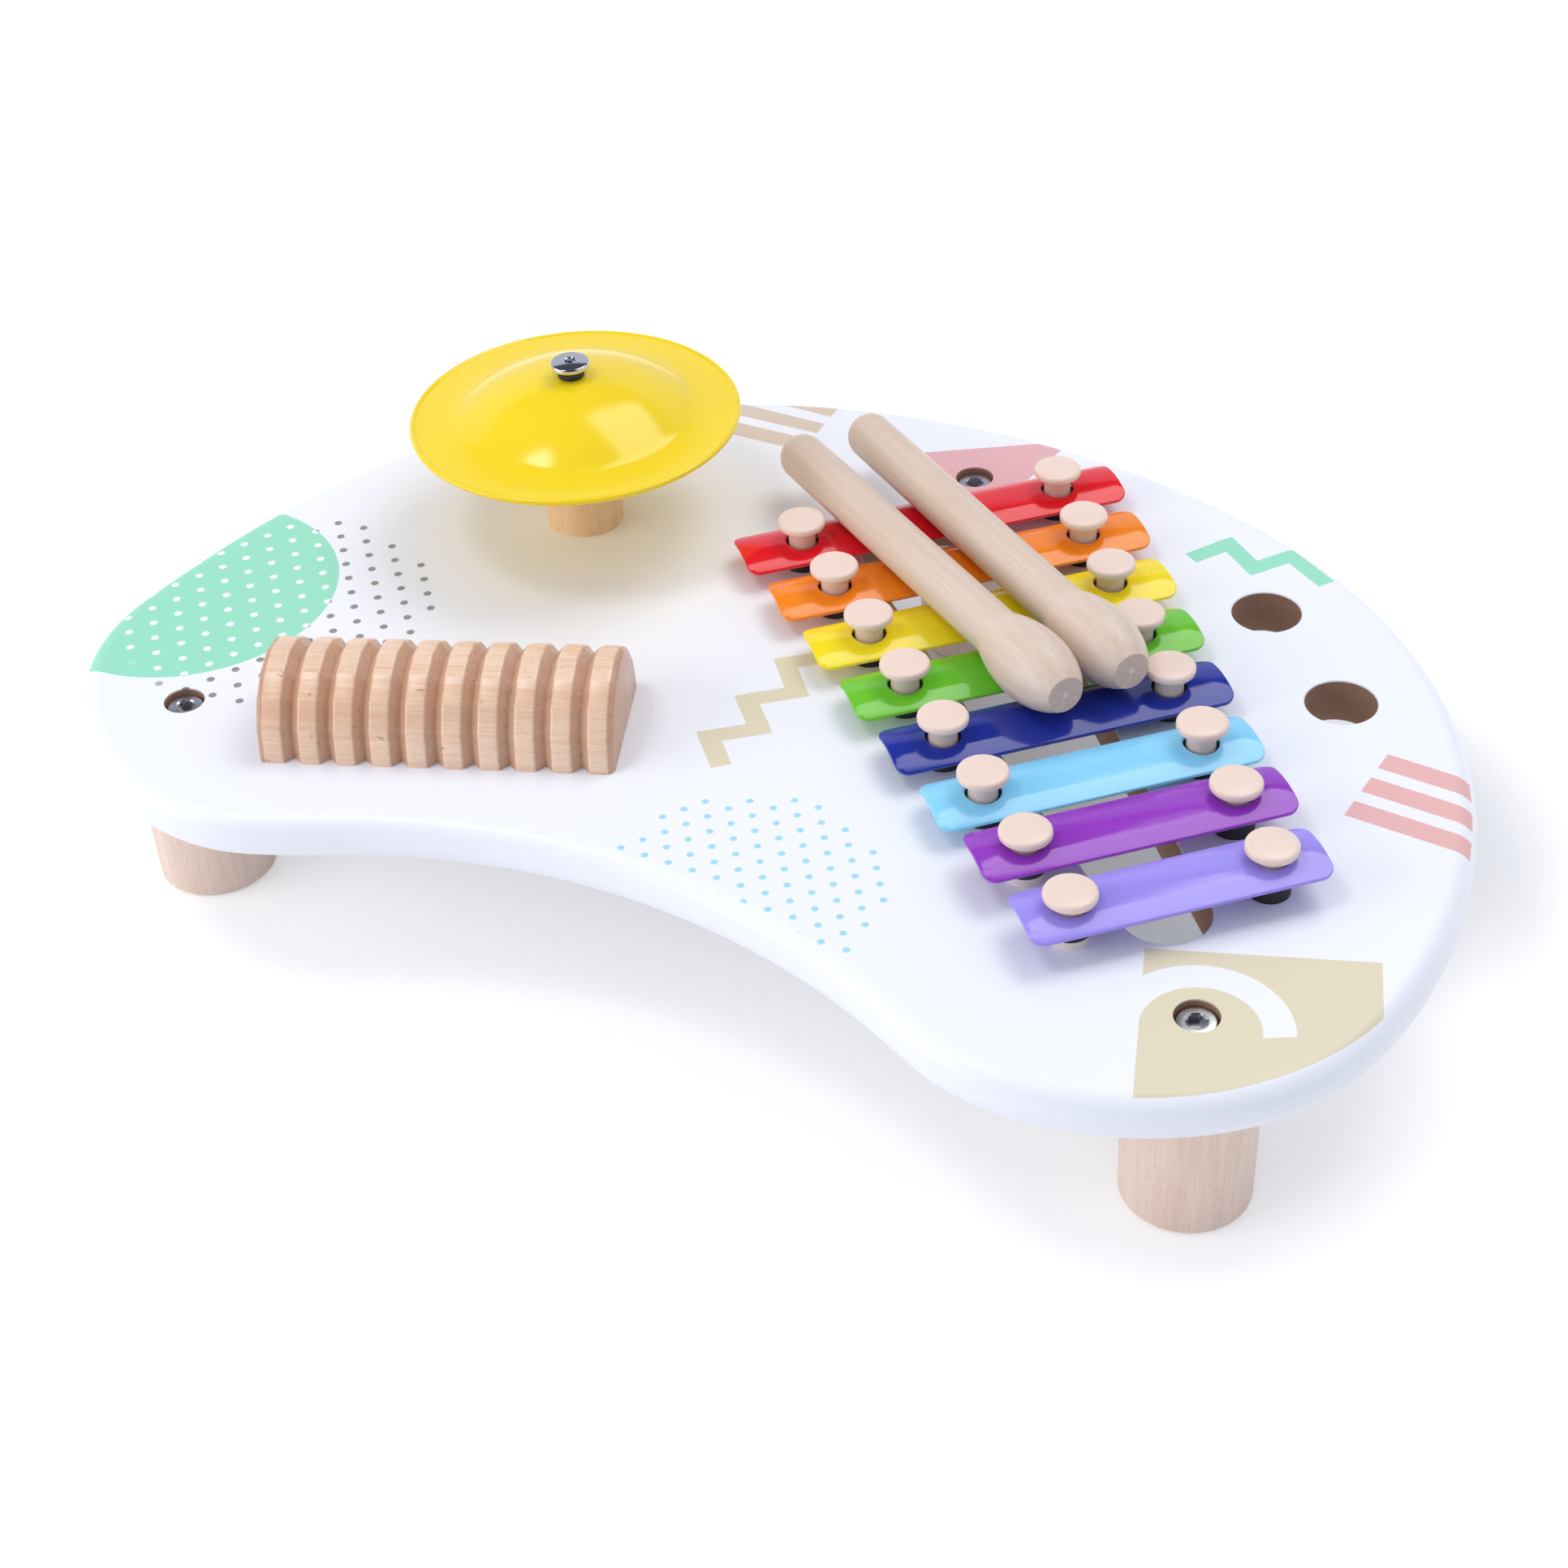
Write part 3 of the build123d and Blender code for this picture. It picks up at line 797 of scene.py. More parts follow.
    def ink(self, under: Feed, shape: Feed, colour: str, soft: float = 0.07) -> Node:
        """Print a shape over a colour.

        Args:
            under: The colour below it.
            shape: The shape.
            colour: The ink's sRGB colour.
            soft: Half the width of the shape's soft edge, in millimetres.

        Returns:
            The printed colour.
        """
        cover = add_node(self.tree, "MapRange", SMOOTH, {
            "Value": shape, "From Min": -soft, "From Max": soft})
        return add_node(self.tree, "Mix", COLOURS, {
            "Factor": cover, "A": under, "B": linear(colour)})


@dataclass(frozen=True)
class BoardLacquer(Finish):
    """Sprayed white satin lacquer on MDF, printed with plain shapes.

    The lacquer is slightly cold and has a very fine orange peel. The walls of the slot and the
    holes stay raw MDF, dark brown and fibrous.
    """

    white: str = "#F6F8FD"
    mint: str = "#9CE6C6"
    sand: str = "#E4DABA"
    warm_sand: str = "#DFCDBA"
    rose: str = "#EBB6B8"
    blush: str = "#EDB8B4"
    grey: str = "#94968F"
    sky: str = "#A6E0F2"
    fibre_dark: str = "#7F5C48"
    fibre_light: str = "#BE9A82"

    # The openings: the slot's two ends and their radii, the mallet holes and the bolt recesses.
    slot: tuple[tuple[Point, float], ...] = (((15.43, 69.08), 24.0), ((139.16, -69.53), 12.7))
    holes: tuple[Point, ...] = ((122.6, 74.4), (156.4, 38.3))
    hole_radius: float = 10.65
    recesses: tuple[Point, ...] = tuple(LEG_CENTRES.values())
    recess_radius: float = 6.2
    wall_margin: float = 1.5

    # How far below the top the print goes on round the edge, the fine dots go on, and the raw
    # walls start and end.
    print_depth: float = 2.0
    dots_depth: float = 0.15
    raw_depths: Point = (0.5, 14.5)

    # The print's shapes. Polygons go round to the left.
    mint_disc: tuple[Point, float] = ((-199.3, -38.5), 48.4)
    mint_bends: tuple[Point, ...] = (
        (91.8, 93.9), (100.45, 105.9), (111.95, 95.75), (120.6, 106.5), (135.4, 95.7))
    mint_width: float = 6.0
    sand_bends: tuple[Point, ...] = (
        (8.5, 4.5), (-3.65, -4.65), (5.7, -16.6), (-6.5, -25.8), (2.95, -37.0), (-9.2, -46.05),
        (0.4, -57.3))
    sand_width: float = 6.2
    corner: tuple[Point, ...] = (
        (154.8, -141.0), (205.0, -141.0), (203.4, -86.7), (197.6, -67.2), (138.7, -85.2))
    corner_disc: tuple[Point, float] = ((126.3, -62.3), 80.7)
    ring_centre: Point = (161.9, -109.1)
    ring_radii: Point = (24.3, 15.8)
    ring_ends: tuple[tuple[Point, Point], ...] = (
        ((177.5, -106.0), (185.2, -102.3)), ((0.0, -111.0), (1.0, -111.0)))
    rear_bands: tuple[tuple[Point, ...], ...] = (
        ((-68.0, 133.0), (-50.0, 131.5), (-50.0, 138.0), (-68.0, 140.0)),
        ((-83.0, 121.3), (-50.0, 120.0), (-50.0, 126.5), (-83.0, 128.5)),
        ((-79.0, 109.1), (-55.0, 108.0), (-55.0, 115.7), (-79.0, 116.8)))
    rose_patch: tuple[Point, ...] = (
        (-16.0, 119.0), (0.0, 91.0), (24.5, 102.0), (31.3, 140.0), (23.5, 141.3))
    blush_bands: tuple[tuple[Point, ...], ...] = (
        ((174.5, 12.0), (210.0, 7.8), (210.0, 15.0), (175.5, 19.2)),
        ((173.0, 0.0), (212.0, -4.65), (212.0, 2.6), (174.0, 7.2)),
        ((171.6, -12.0), (213.0, -16.9), (213.0, -9.6), (172.5, -4.8)))
    left_dots: Dots = Dots((-159.6, 5.75), 3.7, 9.44, 6.89, 1.25, (-166.0, -37.0), 49.5)
    front_dots: Dots = Dots((26.18, -74.79), -2.8, 7.62, 5.57, 1.05, (29.0, -103.0), 39.7)

    # The surface.
    fibre_mm: Place = (0.9, 0.9, 0.35)
    fibre_height: float = 0.12
    peel_mm: float = 0.9
    peel_height: float = 0.004
    raw_soft: float = 0.08
    roughness: float = 0.36
    raw_roughness: float = 0.88
    ior: float = 1.48

    def printed(self, sheet: Print) -> Feed:
        """Print every shape on the white lacquer.

        Args:
            sheet: What makes the shapes.

        Returns:
            The printed colour.
        """
        white = add_node(sheet.tree, "RGB").outputs[0]
        white.default_value = linear(self.white)
        top = sheet.above(BOARD_TOP - self.print_depth)
        flat_top = sheet.above(BOARD_TOP - self.dots_depth)

        mint_disc = sheet.disc(*self.mint_disc)
        mint = sheet.join(mint_disc, sheet.zigzag(self.mint_bends, self.mint_width))
        outer, inner = [sheet.disc(self.ring_centre, radius) for radius in self.ring_radii]
        ring = sheet.cut(outer, sheet.outside(inner), *[sheet.side(*end) for end in self.ring_ends])
        corner = sheet.cut(sheet.polygon(self.corner), sheet.disc(*self.corner_disc))
        sand = sheet.join(sheet.zigzag(self.sand_bends, self.sand_width),
                          sheet.cut(corner, sheet.outside(ring)))
        rear, blush = [sheet.join(*[sheet.polygon(band) for band in bands])
                       for bands in (self.rear_bands, self.blush_bands)]
        left_dots = sheet.dots(self.left_dots)

        colour = white
        for shape, ink in (
            (sheet.cut(mint, top), self.mint),
            (sheet.cut(sand, top), self.sand),
            (sheet.cut(rear, top), self.warm_sand),
            (sheet.cut(sheet.polygon(self.rose_patch), top), self.rose),
            (sheet.cut(blush, top), self.blush),
            (sheet.cut(left_dots, mint_disc, top), self.white),
            (sheet.cut(left_dots, sheet.outside(mint_disc), top), self.grey),
            (sheet.cut(sheet.dots(self.front_dots), flat_top), self.sky),
        ):
            colour = sheet.ink(colour, shape, ink)
        return colour

    def raw_walls(self, sheet: Print) -> Feed:
        """Make the shape of the slot, the holes and the recesses below their painted rims.

        Args:
            sheet: What makes the shapes.

        Returns:
            The raw walls' shape.
        """
        (wide, wide_radius), (narrow, narrow_radius) = self.slot
        margin = self.wall_margin
        way = Vector(narrow) - Vector(wide)
        lean = math.asin((wide_radius - narrow_radius) / way.length)
        tangents = []
        for turn in (1, -1):
            across = Matrix.Rotation(turn * (math.pi / 2 - lean), 2) @ way.normalized()
            tangents.append((tuple(Vector(wide) + across * (wide_radius + margin)),
                             tuple(Vector(narrow) + across * (narrow_radius + margin))))
        (left_wide, left_narrow), (right_wide, right_narrow) = tangents
        openings = sheet.join(
            sheet.polygon([right_wide, right_narrow, left_narrow, left_wide]),
            *[sheet.disc(end, radius + margin) for end, radius in self.slot],
            *[sheet.disc(hole, self.hole_radius + margin) for hole in self.holes],
            *[sheet.disc(recess, self.recess_radius + margin) for recess in self.recesses],
        )
        start, end = [BOARD_TOP - depth for depth in self.raw_depths]
        below = add_node(sheet.tree, "Math", {"operation": "SUBTRACT"}, {
            0: start, 1: sheet.height})
        return sheet.cut(openings, below, sheet.above(end))

    def dress(self, tree: Tree) -> Node:
        """Add the board's nodes.

        Args:
            tree: The material's tree.

        Returns:
            The shader.
        """
        sheet = Print(tree, self.place(tree))
        painted = self.printed(sheet)
        raw = add_node(tree, "MapRange", inputs={
            "Value": self.raw_walls(sheet), "From Min": -self.raw_soft,
            "From Max": self.raw_soft})
        fibres = add_node(tree, "TexNoise", inputs={
            "Vector": self.place(tree, self.fibre_mm), "Scale": 1.0, "Detail": 5.0,
            "Roughness": 0.7})
        fibre_colour = add_node(tree, "Mix", COLOURS, {
            "Factor": fibres, "A": linear(self.fibre_dark), "B": linear(self.fibre_light)})
        colour = add_node(tree, "Mix", COLOURS, {"Factor": raw, "A": painted, "B": fibre_colour})
        peel = add_node(tree, "TexNoise", inputs={
            "Vector": self.place(tree, (self.peel_mm,) * 3), "Scale": 1.0, "Detail": 2.0})
        skin = add_node(tree, "Bump", inputs={
            "Distance": self.peel_height * MM, "Height": peel})
        rough_height = add_node(tree, "Math", {"operation": "MULTIPLY"}, {0: fibres, 1: raw})
        fuzz = add_node(tree, "Bump", inputs={
            "Distance": self.fibre_height * MM, "Height": rough_height,
            "Normal": skin})
        gloss = add_node(tree, "MapRange", inputs={
            "Value": raw, "To Min": self.roughness, "To Max": self.raw_roughness})
        return add_node(tree, "BsdfPrincipled", inputs={
            "Base Color": colour, "Roughness": gloss, "Normal": fuzz, "IOR": self.ior})


def of_kind(geometry: Sequence[object], kind: type) -> list:
    """Return the vertices, edges or faces among what a bmesh operator gave back."""
    return [item for item in geometry if isinstance(item, kind)]


def everything(mesh: bmesh.types.BMesh) -> list:
    """Return a mesh's vertices, edges and faces."""
    return mesh.verts[:] + mesh.edges[:] + mesh.faces[:]


def finished(
    mesh: bmesh.types.BMesh,
    name: str,
    place: Matrix,
    material: bpy.types.Material,
    sharp: float = 35.0,
) -> bpy.types.Object:
    """Turn a piece modelled in millimetres at the origin into an object in its place.

    Args:
        mesh: The piece, which is freed.
        name: The object's name.
        place: Where the piece goes, in millimetres.
        material: Its material.
        sharp: Edges that turn by more than this many degrees stay sharp.

    Returns:
        The new object.
    """
    bmesh.ops.transform(mesh, matrix=Matrix.Scale(MM, 4) @ place, verts=mesh.verts[:])
    for face in mesh.faces:
        face.smooth = True
    data = bpy.data.meshes.new(name)
    mesh.to_mesh(data)
    mesh.free()
    data.materials.append(material)
    data.set_sharp_from_angle(angle=math.radians(sharp))
    piece = bpy.data.objects.new(name, data)
    bpy.context.scene.collection.objects.link(piece)
    LOG.info("%s: %d faces", name, len(data.polygons))
    return piece


def arch(half_span: float, rise: float) -> float:
    """Return the radius of an arc from half its span and its rise."""
    return (half_span**2 + rise**2) / (2 * rise)


def crown(top: float, curve: float, start: float, end: float, steps: int) -> list[Place]:
    """Return a crown's corners for a half-section, from one distance off its axis to another.

    Args:
        top: The height of the crown's top.
        curve: The crown's radius.
        start: The first corner's distance from the axis.
        end: The last corner's distance from the axis.
        steps: The number of steps between them.

    Returns:
        Each corner's radius and height, with no rounding.
    """
    radii = [start + step * (end - start) / steps for step in range(steps + 1)]
    return [(radius, top - curve + math.sqrt(curve**2 - radius**2), 0.0) for radius in radii]


def turned(profile: Sequence[Place], steps: int = 72, soft: int = 4) -> bmesh.types.BMesh:
    """Turn a half-section about Z.

    Args:
        profile: Its corners as radius, height and the length that rounding takes off each side.
        steps: The number of steps round the axis.
        soft: The number of faces in each rounding.

    Returns:
        The turned shape.
    """
    mesh = bmesh.new()
    corners = [mesh.verts.new((radius, 0.0, height)) for radius, height, _ in profile]
    for start, end in zip(corners, corners[1:]):
        mesh.edges.new((start, end))
    for corner, (_, _, rounding) in zip(corners, profile):
        if rounding:
            bmesh.ops.bevel(mesh, geom=[corner], offset=rounding, segments=soft, profile=0.5,
                            affect="VERTICES", material=-1)
    bmesh.ops.spin(mesh, geom=mesh.verts[:] + mesh.edges[:], cent=(0, 0, 0), axis=(0, 0, 1),
                   angle=2 * math.pi, steps=steps, use_merge=True)
    bmesh.ops.remove_doubles(mesh, verts=mesh.verts[:], dist=MERGED)
    bmesh.ops.recalc_face_normals(mesh, faces=mesh.faces[:])
    return mesh


def cut_socket(
    mesh: bmesh.types.BMesh, width: float, height: float, depth: float, lip: float
) -> None:
    """Close the open top of a turned shape with a hexagon socket.

    Args:
        mesh: The shape, whose topmost loop is open.
        width: The socket's width across its flats.
        height: The height of the open loop.
        depth: The socket's depth.
        lip: How far its mouth lies below the open loop.
    """
    open_loop = [edge for edge in mesh.edges if edge.is_boundary]
    hexagon = bmesh.ops.create_circle(
        mesh, cap_ends=False, radius=width / math.sqrt(3), segments=6)["verts"]
    sides = list({edge for vert in hexagon for edge in vert.link_edges})
    bmesh.ops.subdivide_edges(mesh, edges=sides, cuts=2)
    mouth = [edge for edge in mesh.edges if not edge.link_faces]
    verts = list({vert for edge in mouth for vert in edge.verts})
    bmesh.ops.translate(mesh, vec=(0, 0, height - lip), verts=verts)
    bmesh.ops.bridge_loops(mesh, edges=open_loop + mouth)
    wall = bmesh.ops.extrude_edge_only(mesh, edges=mouth)["geom"]
    bmesh.ops.translate(mesh, vec=(0, 0, -depth), verts=of_kind(wall, bmesh.types.BMVert))
    bmesh.ops.contextual_create(
        mesh, geom=[edge for edge in of_kind(wall, bmesh.types.BMEdge) if edge.is_boundary])
    bmesh.ops.recalc_face_normals(mesh, faces=mesh.faces[:])


def dress_nodes(material: bpy.types.Material, *names: str) -> None:
    """Give a material to the frame's own nodes.

    Args:
        material: The material.
        names: The nodes' names.
    """
    for name in names:
        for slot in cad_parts[name].material_slots:
            slot.material = material


@dataclass
class Board:
    """The board on its three legs, with the bolts that hold them."""

    # Each leg is cut beside the tree's pith, from another part of the plank, at another turn.
    pith: Point = (9.0, 6.0)
    plank_step: float = 70.0
    plank_turn: float = 0.6

    bolt_seat: float = BOARD_TOP - 5.0
    bolt_radius: float = 5.5
    bolt_head: float = 3.2
    bolt_edge: float = 0.55
    bolt_corner: float = 0.2
    bolt_shank: float = 3.0
    bolt_length: float = 24.0
    bolt_tip: float = 0.5
    socket: float = 5.0
    socket_depth: float = 2.0
    socket_lip: float = 0.45
    socket_bevel: float = 0.62  # the bevel's radius, as a share of the socket's width

    def bolt(self) -> bmesh.types.BMesh:
        """Make one bolt.

        Returns:
            The bolt, its head's seat at the origin.
        """
        mesh = turned([
            (self.socket * self.socket_bevel, self.bolt_head, 0.0),
            (self.bolt_radius, self.bolt_head, self.bolt_edge),
            (self.bolt_radius, 0.0, self.bolt_corner),
            (self.bolt_shank, 0.0, self.bolt_corner),
            (self.bolt_shank, -self.bolt_length, self.bolt_tip),
            (0.0, -self.bolt_length, 0.0),
        ])
        cut_socket(mesh, self.socket, self.bolt_head, self.socket_depth, self.socket_lip)
        return mesh

    def build(self) -> None:
        """Dress the board and legs and build the bolts."""
        dress_nodes(BoardLacquer("satin_lacquer_on_mdf").material(), "table_top")
        for number, (side, centre) in enumerate(LEG_CENTRES.items()):
            x, y = centre
            # Turned beech: pale, pinkish and even, with short flecks up the leg.
            beech = Wood(
                f"beech_leg_{side}", "#F6E0D0", "#EBCFBB", "#CFA98F",
                centre=(x + self.pith[0], y + self.pith[1], number * self.plank_step),
                turn=(0.0, math.pi / 2, self.plank_turn * number))
            dress_nodes(beech.material(), f"leg_{side}")
            # Zinc plating: cool pale grey with a blurred shine.
            zinc = TurnedMetal(f"zinc_plated_bolt_{side}", "#D6D8DE", 0.24, (*centre, 0.0))
            piece = finished(self.bolt(), f"hex_bolt_{side}",
                             Matrix.Translation((*centre, self.bolt_seat)), zinc.material(),
                             sharp=30.0)
            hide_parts(f"leg_bolt_{side}")
            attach(piece, "table")
            # Plain turned brass: dull gold.
            brass = TurnedMetal(f"brass_insert_{side}", "#C9A64E", 0.3, (*centre, 0.0))
            dress_nodes(brass.material(), f"leg_insert_{side}")


@dataclass
class Xylophone:
    """Eight arched enamelled bars, loose on rubber pads between capped pins."""

    # The row of bars: the longest one's middle, the row's direction in degrees and its pitch,
    # and how much higher the bars on rings lie.
    row_start: Point = (10.7, 75.6)
    row_angle: float = -48.25
    pitch: float = 27.8
    raised: float = 3.2
    on_rings: tuple[BarColour, ...] = (BarColour.PURPLE, BarColour.LAVENDER)

    # A bar: its blank, its arch with the height of its top over the board, and its holes.
    longest: float = 127.0
    shorter_by: float = 5.8
    width: float = 22.0
    sheet: float = 1.0
    corner: float = 4.0
    corner_steps: int = 8
    rim: float = 0.35
    rim_angles: tuple[int, ...] = (0, 30, 60, 90)
    rise: float = 2.4
    crown: float = 9.0
    strips: int = 44
    longest_reach: float = 43.1
    reach_step: float = 2.05
    hole_radius: float = 5.25
    hole_steps: int = 48

    # A pin: its crowned cap, its shank and the length glued into the board.
    cap_radius: float = 7.5
    cap_height: float = 16.9
    cap_thickness: float = 2.6
    cap_crown: float = 0.35
    cap_middle: Point = (0.5, 0.22)  # this far out, the crown has dropped by this share
    cap_edge: float = 1.0
    cap_under_edge: float = 0.45
    shank_radius: float = 4.25
    shank_corner: float = 0.25
    tenon: float = 10.0

    @property
    def curve(self) -> float:
        """The radius of a bar's arch."""
        return arch(self.width / 2, self.rise)

    def place(self, number: int) -> Matrix:
        """Find where a bar lies.

        Args:
            number: The bar's number, from the longest, 0, to the shortest.

        Returns:
            The place of its middle on the board, with X along the bar.
        """
        along = math.radians(self.row_angle)
        way = Vector((math.cos(along), math.sin(along)))
        centre = Vector(self.row_start) + way * number * self.pitch
        return (Matrix.Translation((*centre, BOARD_TOP))
                @ Matrix.Rotation(along + math.pi / 2, 4, "Z"))

    def reach(self, number: int) -> float:
        """Return the distance of a bar's pins from its middle."""
        return self.longest_reach - number * self.reach_step

    def blank(self, mesh: bmesh.types.BMesh, number: int) -> None:
        """Make a bar's flat blank: one sheet with round corners and two holes, facing up.

        Args:
            mesh: The empty mesh that gets it.
            number: The bar's number.
        """
        length = self.longest - number * self.shorter_by
        corners = bmesh.ops.create_grid(mesh, x_segments=1, y_segments=1, size=0.5)["verts"]
        bmesh.ops.scale(mesh, vec=(length, self.width, 1.0), verts=corners)
        bmesh.ops.bevel(mesh, geom=corners, offset=self.corner, segments=self.corner_steps,
                        profile=0.5, affect="VERTICES", material=-1)
        bmesh.ops.delete(mesh, geom=mesh.faces[:], context="FACES_ONLY")
        for side in (-1, 1):
            hole = bmesh.ops.create_circle(mesh, cap_ends=False, radius=self.hole_radius,
                                           segments=self.hole_steps)["verts"]
            bmesh.ops.translate(mesh, vec=(side * self.reach(number), 0, 0), verts=hole)
        bmesh.ops.triangle_fill(mesh, use_beauty=True, edges=mesh.edges[:])
        bmesh.ops.recalc_face_normals(mesh, faces=mesh.faces[:])
        if mesh.faces[:][0].normal.z < 0:
            bmesh.ops.reverse_faces(mesh, faces=mesh.faces[:])

    def bar(self, number: int) -> bmesh.types.BMesh:
        """Make one bar: the blank with its thickness and soft rims, bent over the arch.

        Args:
            number: The bar's number.

        Returns:
            The bar, its middle on the board at the origin.
        """
        mesh = bmesh.new()
        self.blank(mesh, number)
        bmesh.ops.solidify(mesh, geom=mesh.faces[:], thickness=self.sheet - self.rim)
        top = max(vert.co.z for vert in mesh.verts)
        bmesh.ops.translate(mesh, vec=(0, 0, -top), verts=mesh.verts[:])
        upper = [face for face in mesh.faces if face.normal.z > FACING_UP]
        for start, end in zip(self.rim_angles, self.rim_angles[1:]):
            inwards = math.cos(math.radians(start)) - math.cos(math.radians(end))
            upwards = math.sin(math.radians(end)) - math.sin(math.radians(start))
            bmesh.ops.inset_region(mesh, faces=upper, use_boundary=True, use_even_offset=True,
                                   thickness=self.rim * inwards, depth=self.rim * upwards)
        for strip in range(1 - self.strips // 2, self.strips // 2):
            bmesh.ops.bisect_plane(mesh, geom=everything(mesh), dist=ON_CUT, plane_no=(0, 1, 0),
                                   plane_co=(0, strip * self.width / self.strips, 0))
        for vert in mesh.verts:
            angle = math.asin(vert.co.y / self.curve)
            out = self.curve - self.rim + vert.co.z
            vert.co.y = out * math.sin(angle)
            vert.co.z = self.crown - self.curve + out * math.cos(angle)
        return mesh

    def pins(self, number: int) -> bmesh.types.BMesh:
        """Make a bar's two pins: a shank under a round cap with a slight crown.

        Args:
            number: The bar's number.

        Returns:
            Both pins.
        """
        seat = self.cap_height - self.cap_thickness
        out, drop = self.cap_middle
        mesh = turned([
            (0.0, self.cap_height, 0.0),
            (self.cap_radius * out, self.cap_height - self.cap_crown * drop, 0.0),
            (self.cap_radius, self.cap_height - self.cap_crown, self.cap_edge),
            (self.cap_radius, seat, self.cap_under_edge),
            (self.shank_radius, seat, self.shank_corner),
            (self.shank_radius, -self.tenon, 0.0),
            (0.0, -self.tenon, 0.0),
        ])
        first = mesh.verts[:]
        twin = bmesh.ops.duplicate(mesh, geom=everything(mesh))["geom"]
        for side, verts in ((-1, first), (1, of_kind(twin, bmesh.types.BMVert))):
            bmesh.ops.translate(mesh, vec=(side * self.reach(number), 0, 0), verts=verts)
        return mesh

    def build(self) -> None:
        """Build and dress the bars and pins, and dress the pads and rings."""
        # Cream plastic, moulded: the caps are glossier and pinker than the rings.
        cap = MouldedPlastic("moulded_cream_cap", "#F2DCCD").material()
        ring = MouldedPlastic("moulded_cream_ring", "#EFE4DC", 0.38).material()
        rubber = Rubber("moulded_black_rubber").material()
        for number, colour in enumerate(BarColour):
            lift = self.raised if colour in self.on_rings else 0.0
            enamel = Enamel(f"stoved_enamel_{colour.word}", colour.value)
            bar = finished(self.bar(number), f"sounding_bar_{colour.word}",
                           Matrix.Translation((0, 0, lift)) @ self.place(number),
                           enamel.material())
            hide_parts(f"bar_{colour.word}")
            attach(bar, f"bar_{colour.word}")
            pins = finished(self.pins(number), f"capped_pins_{colour.word}", self.place(number),
                            cap)
            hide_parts(f"pins_{colour.word}")
            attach(pins, "table")
            dress_nodes(rubber, f"pads_{colour.word}")
        dress_nodes(ring, *[f"spacer_{colour.word}" for colour in self.on_rings])


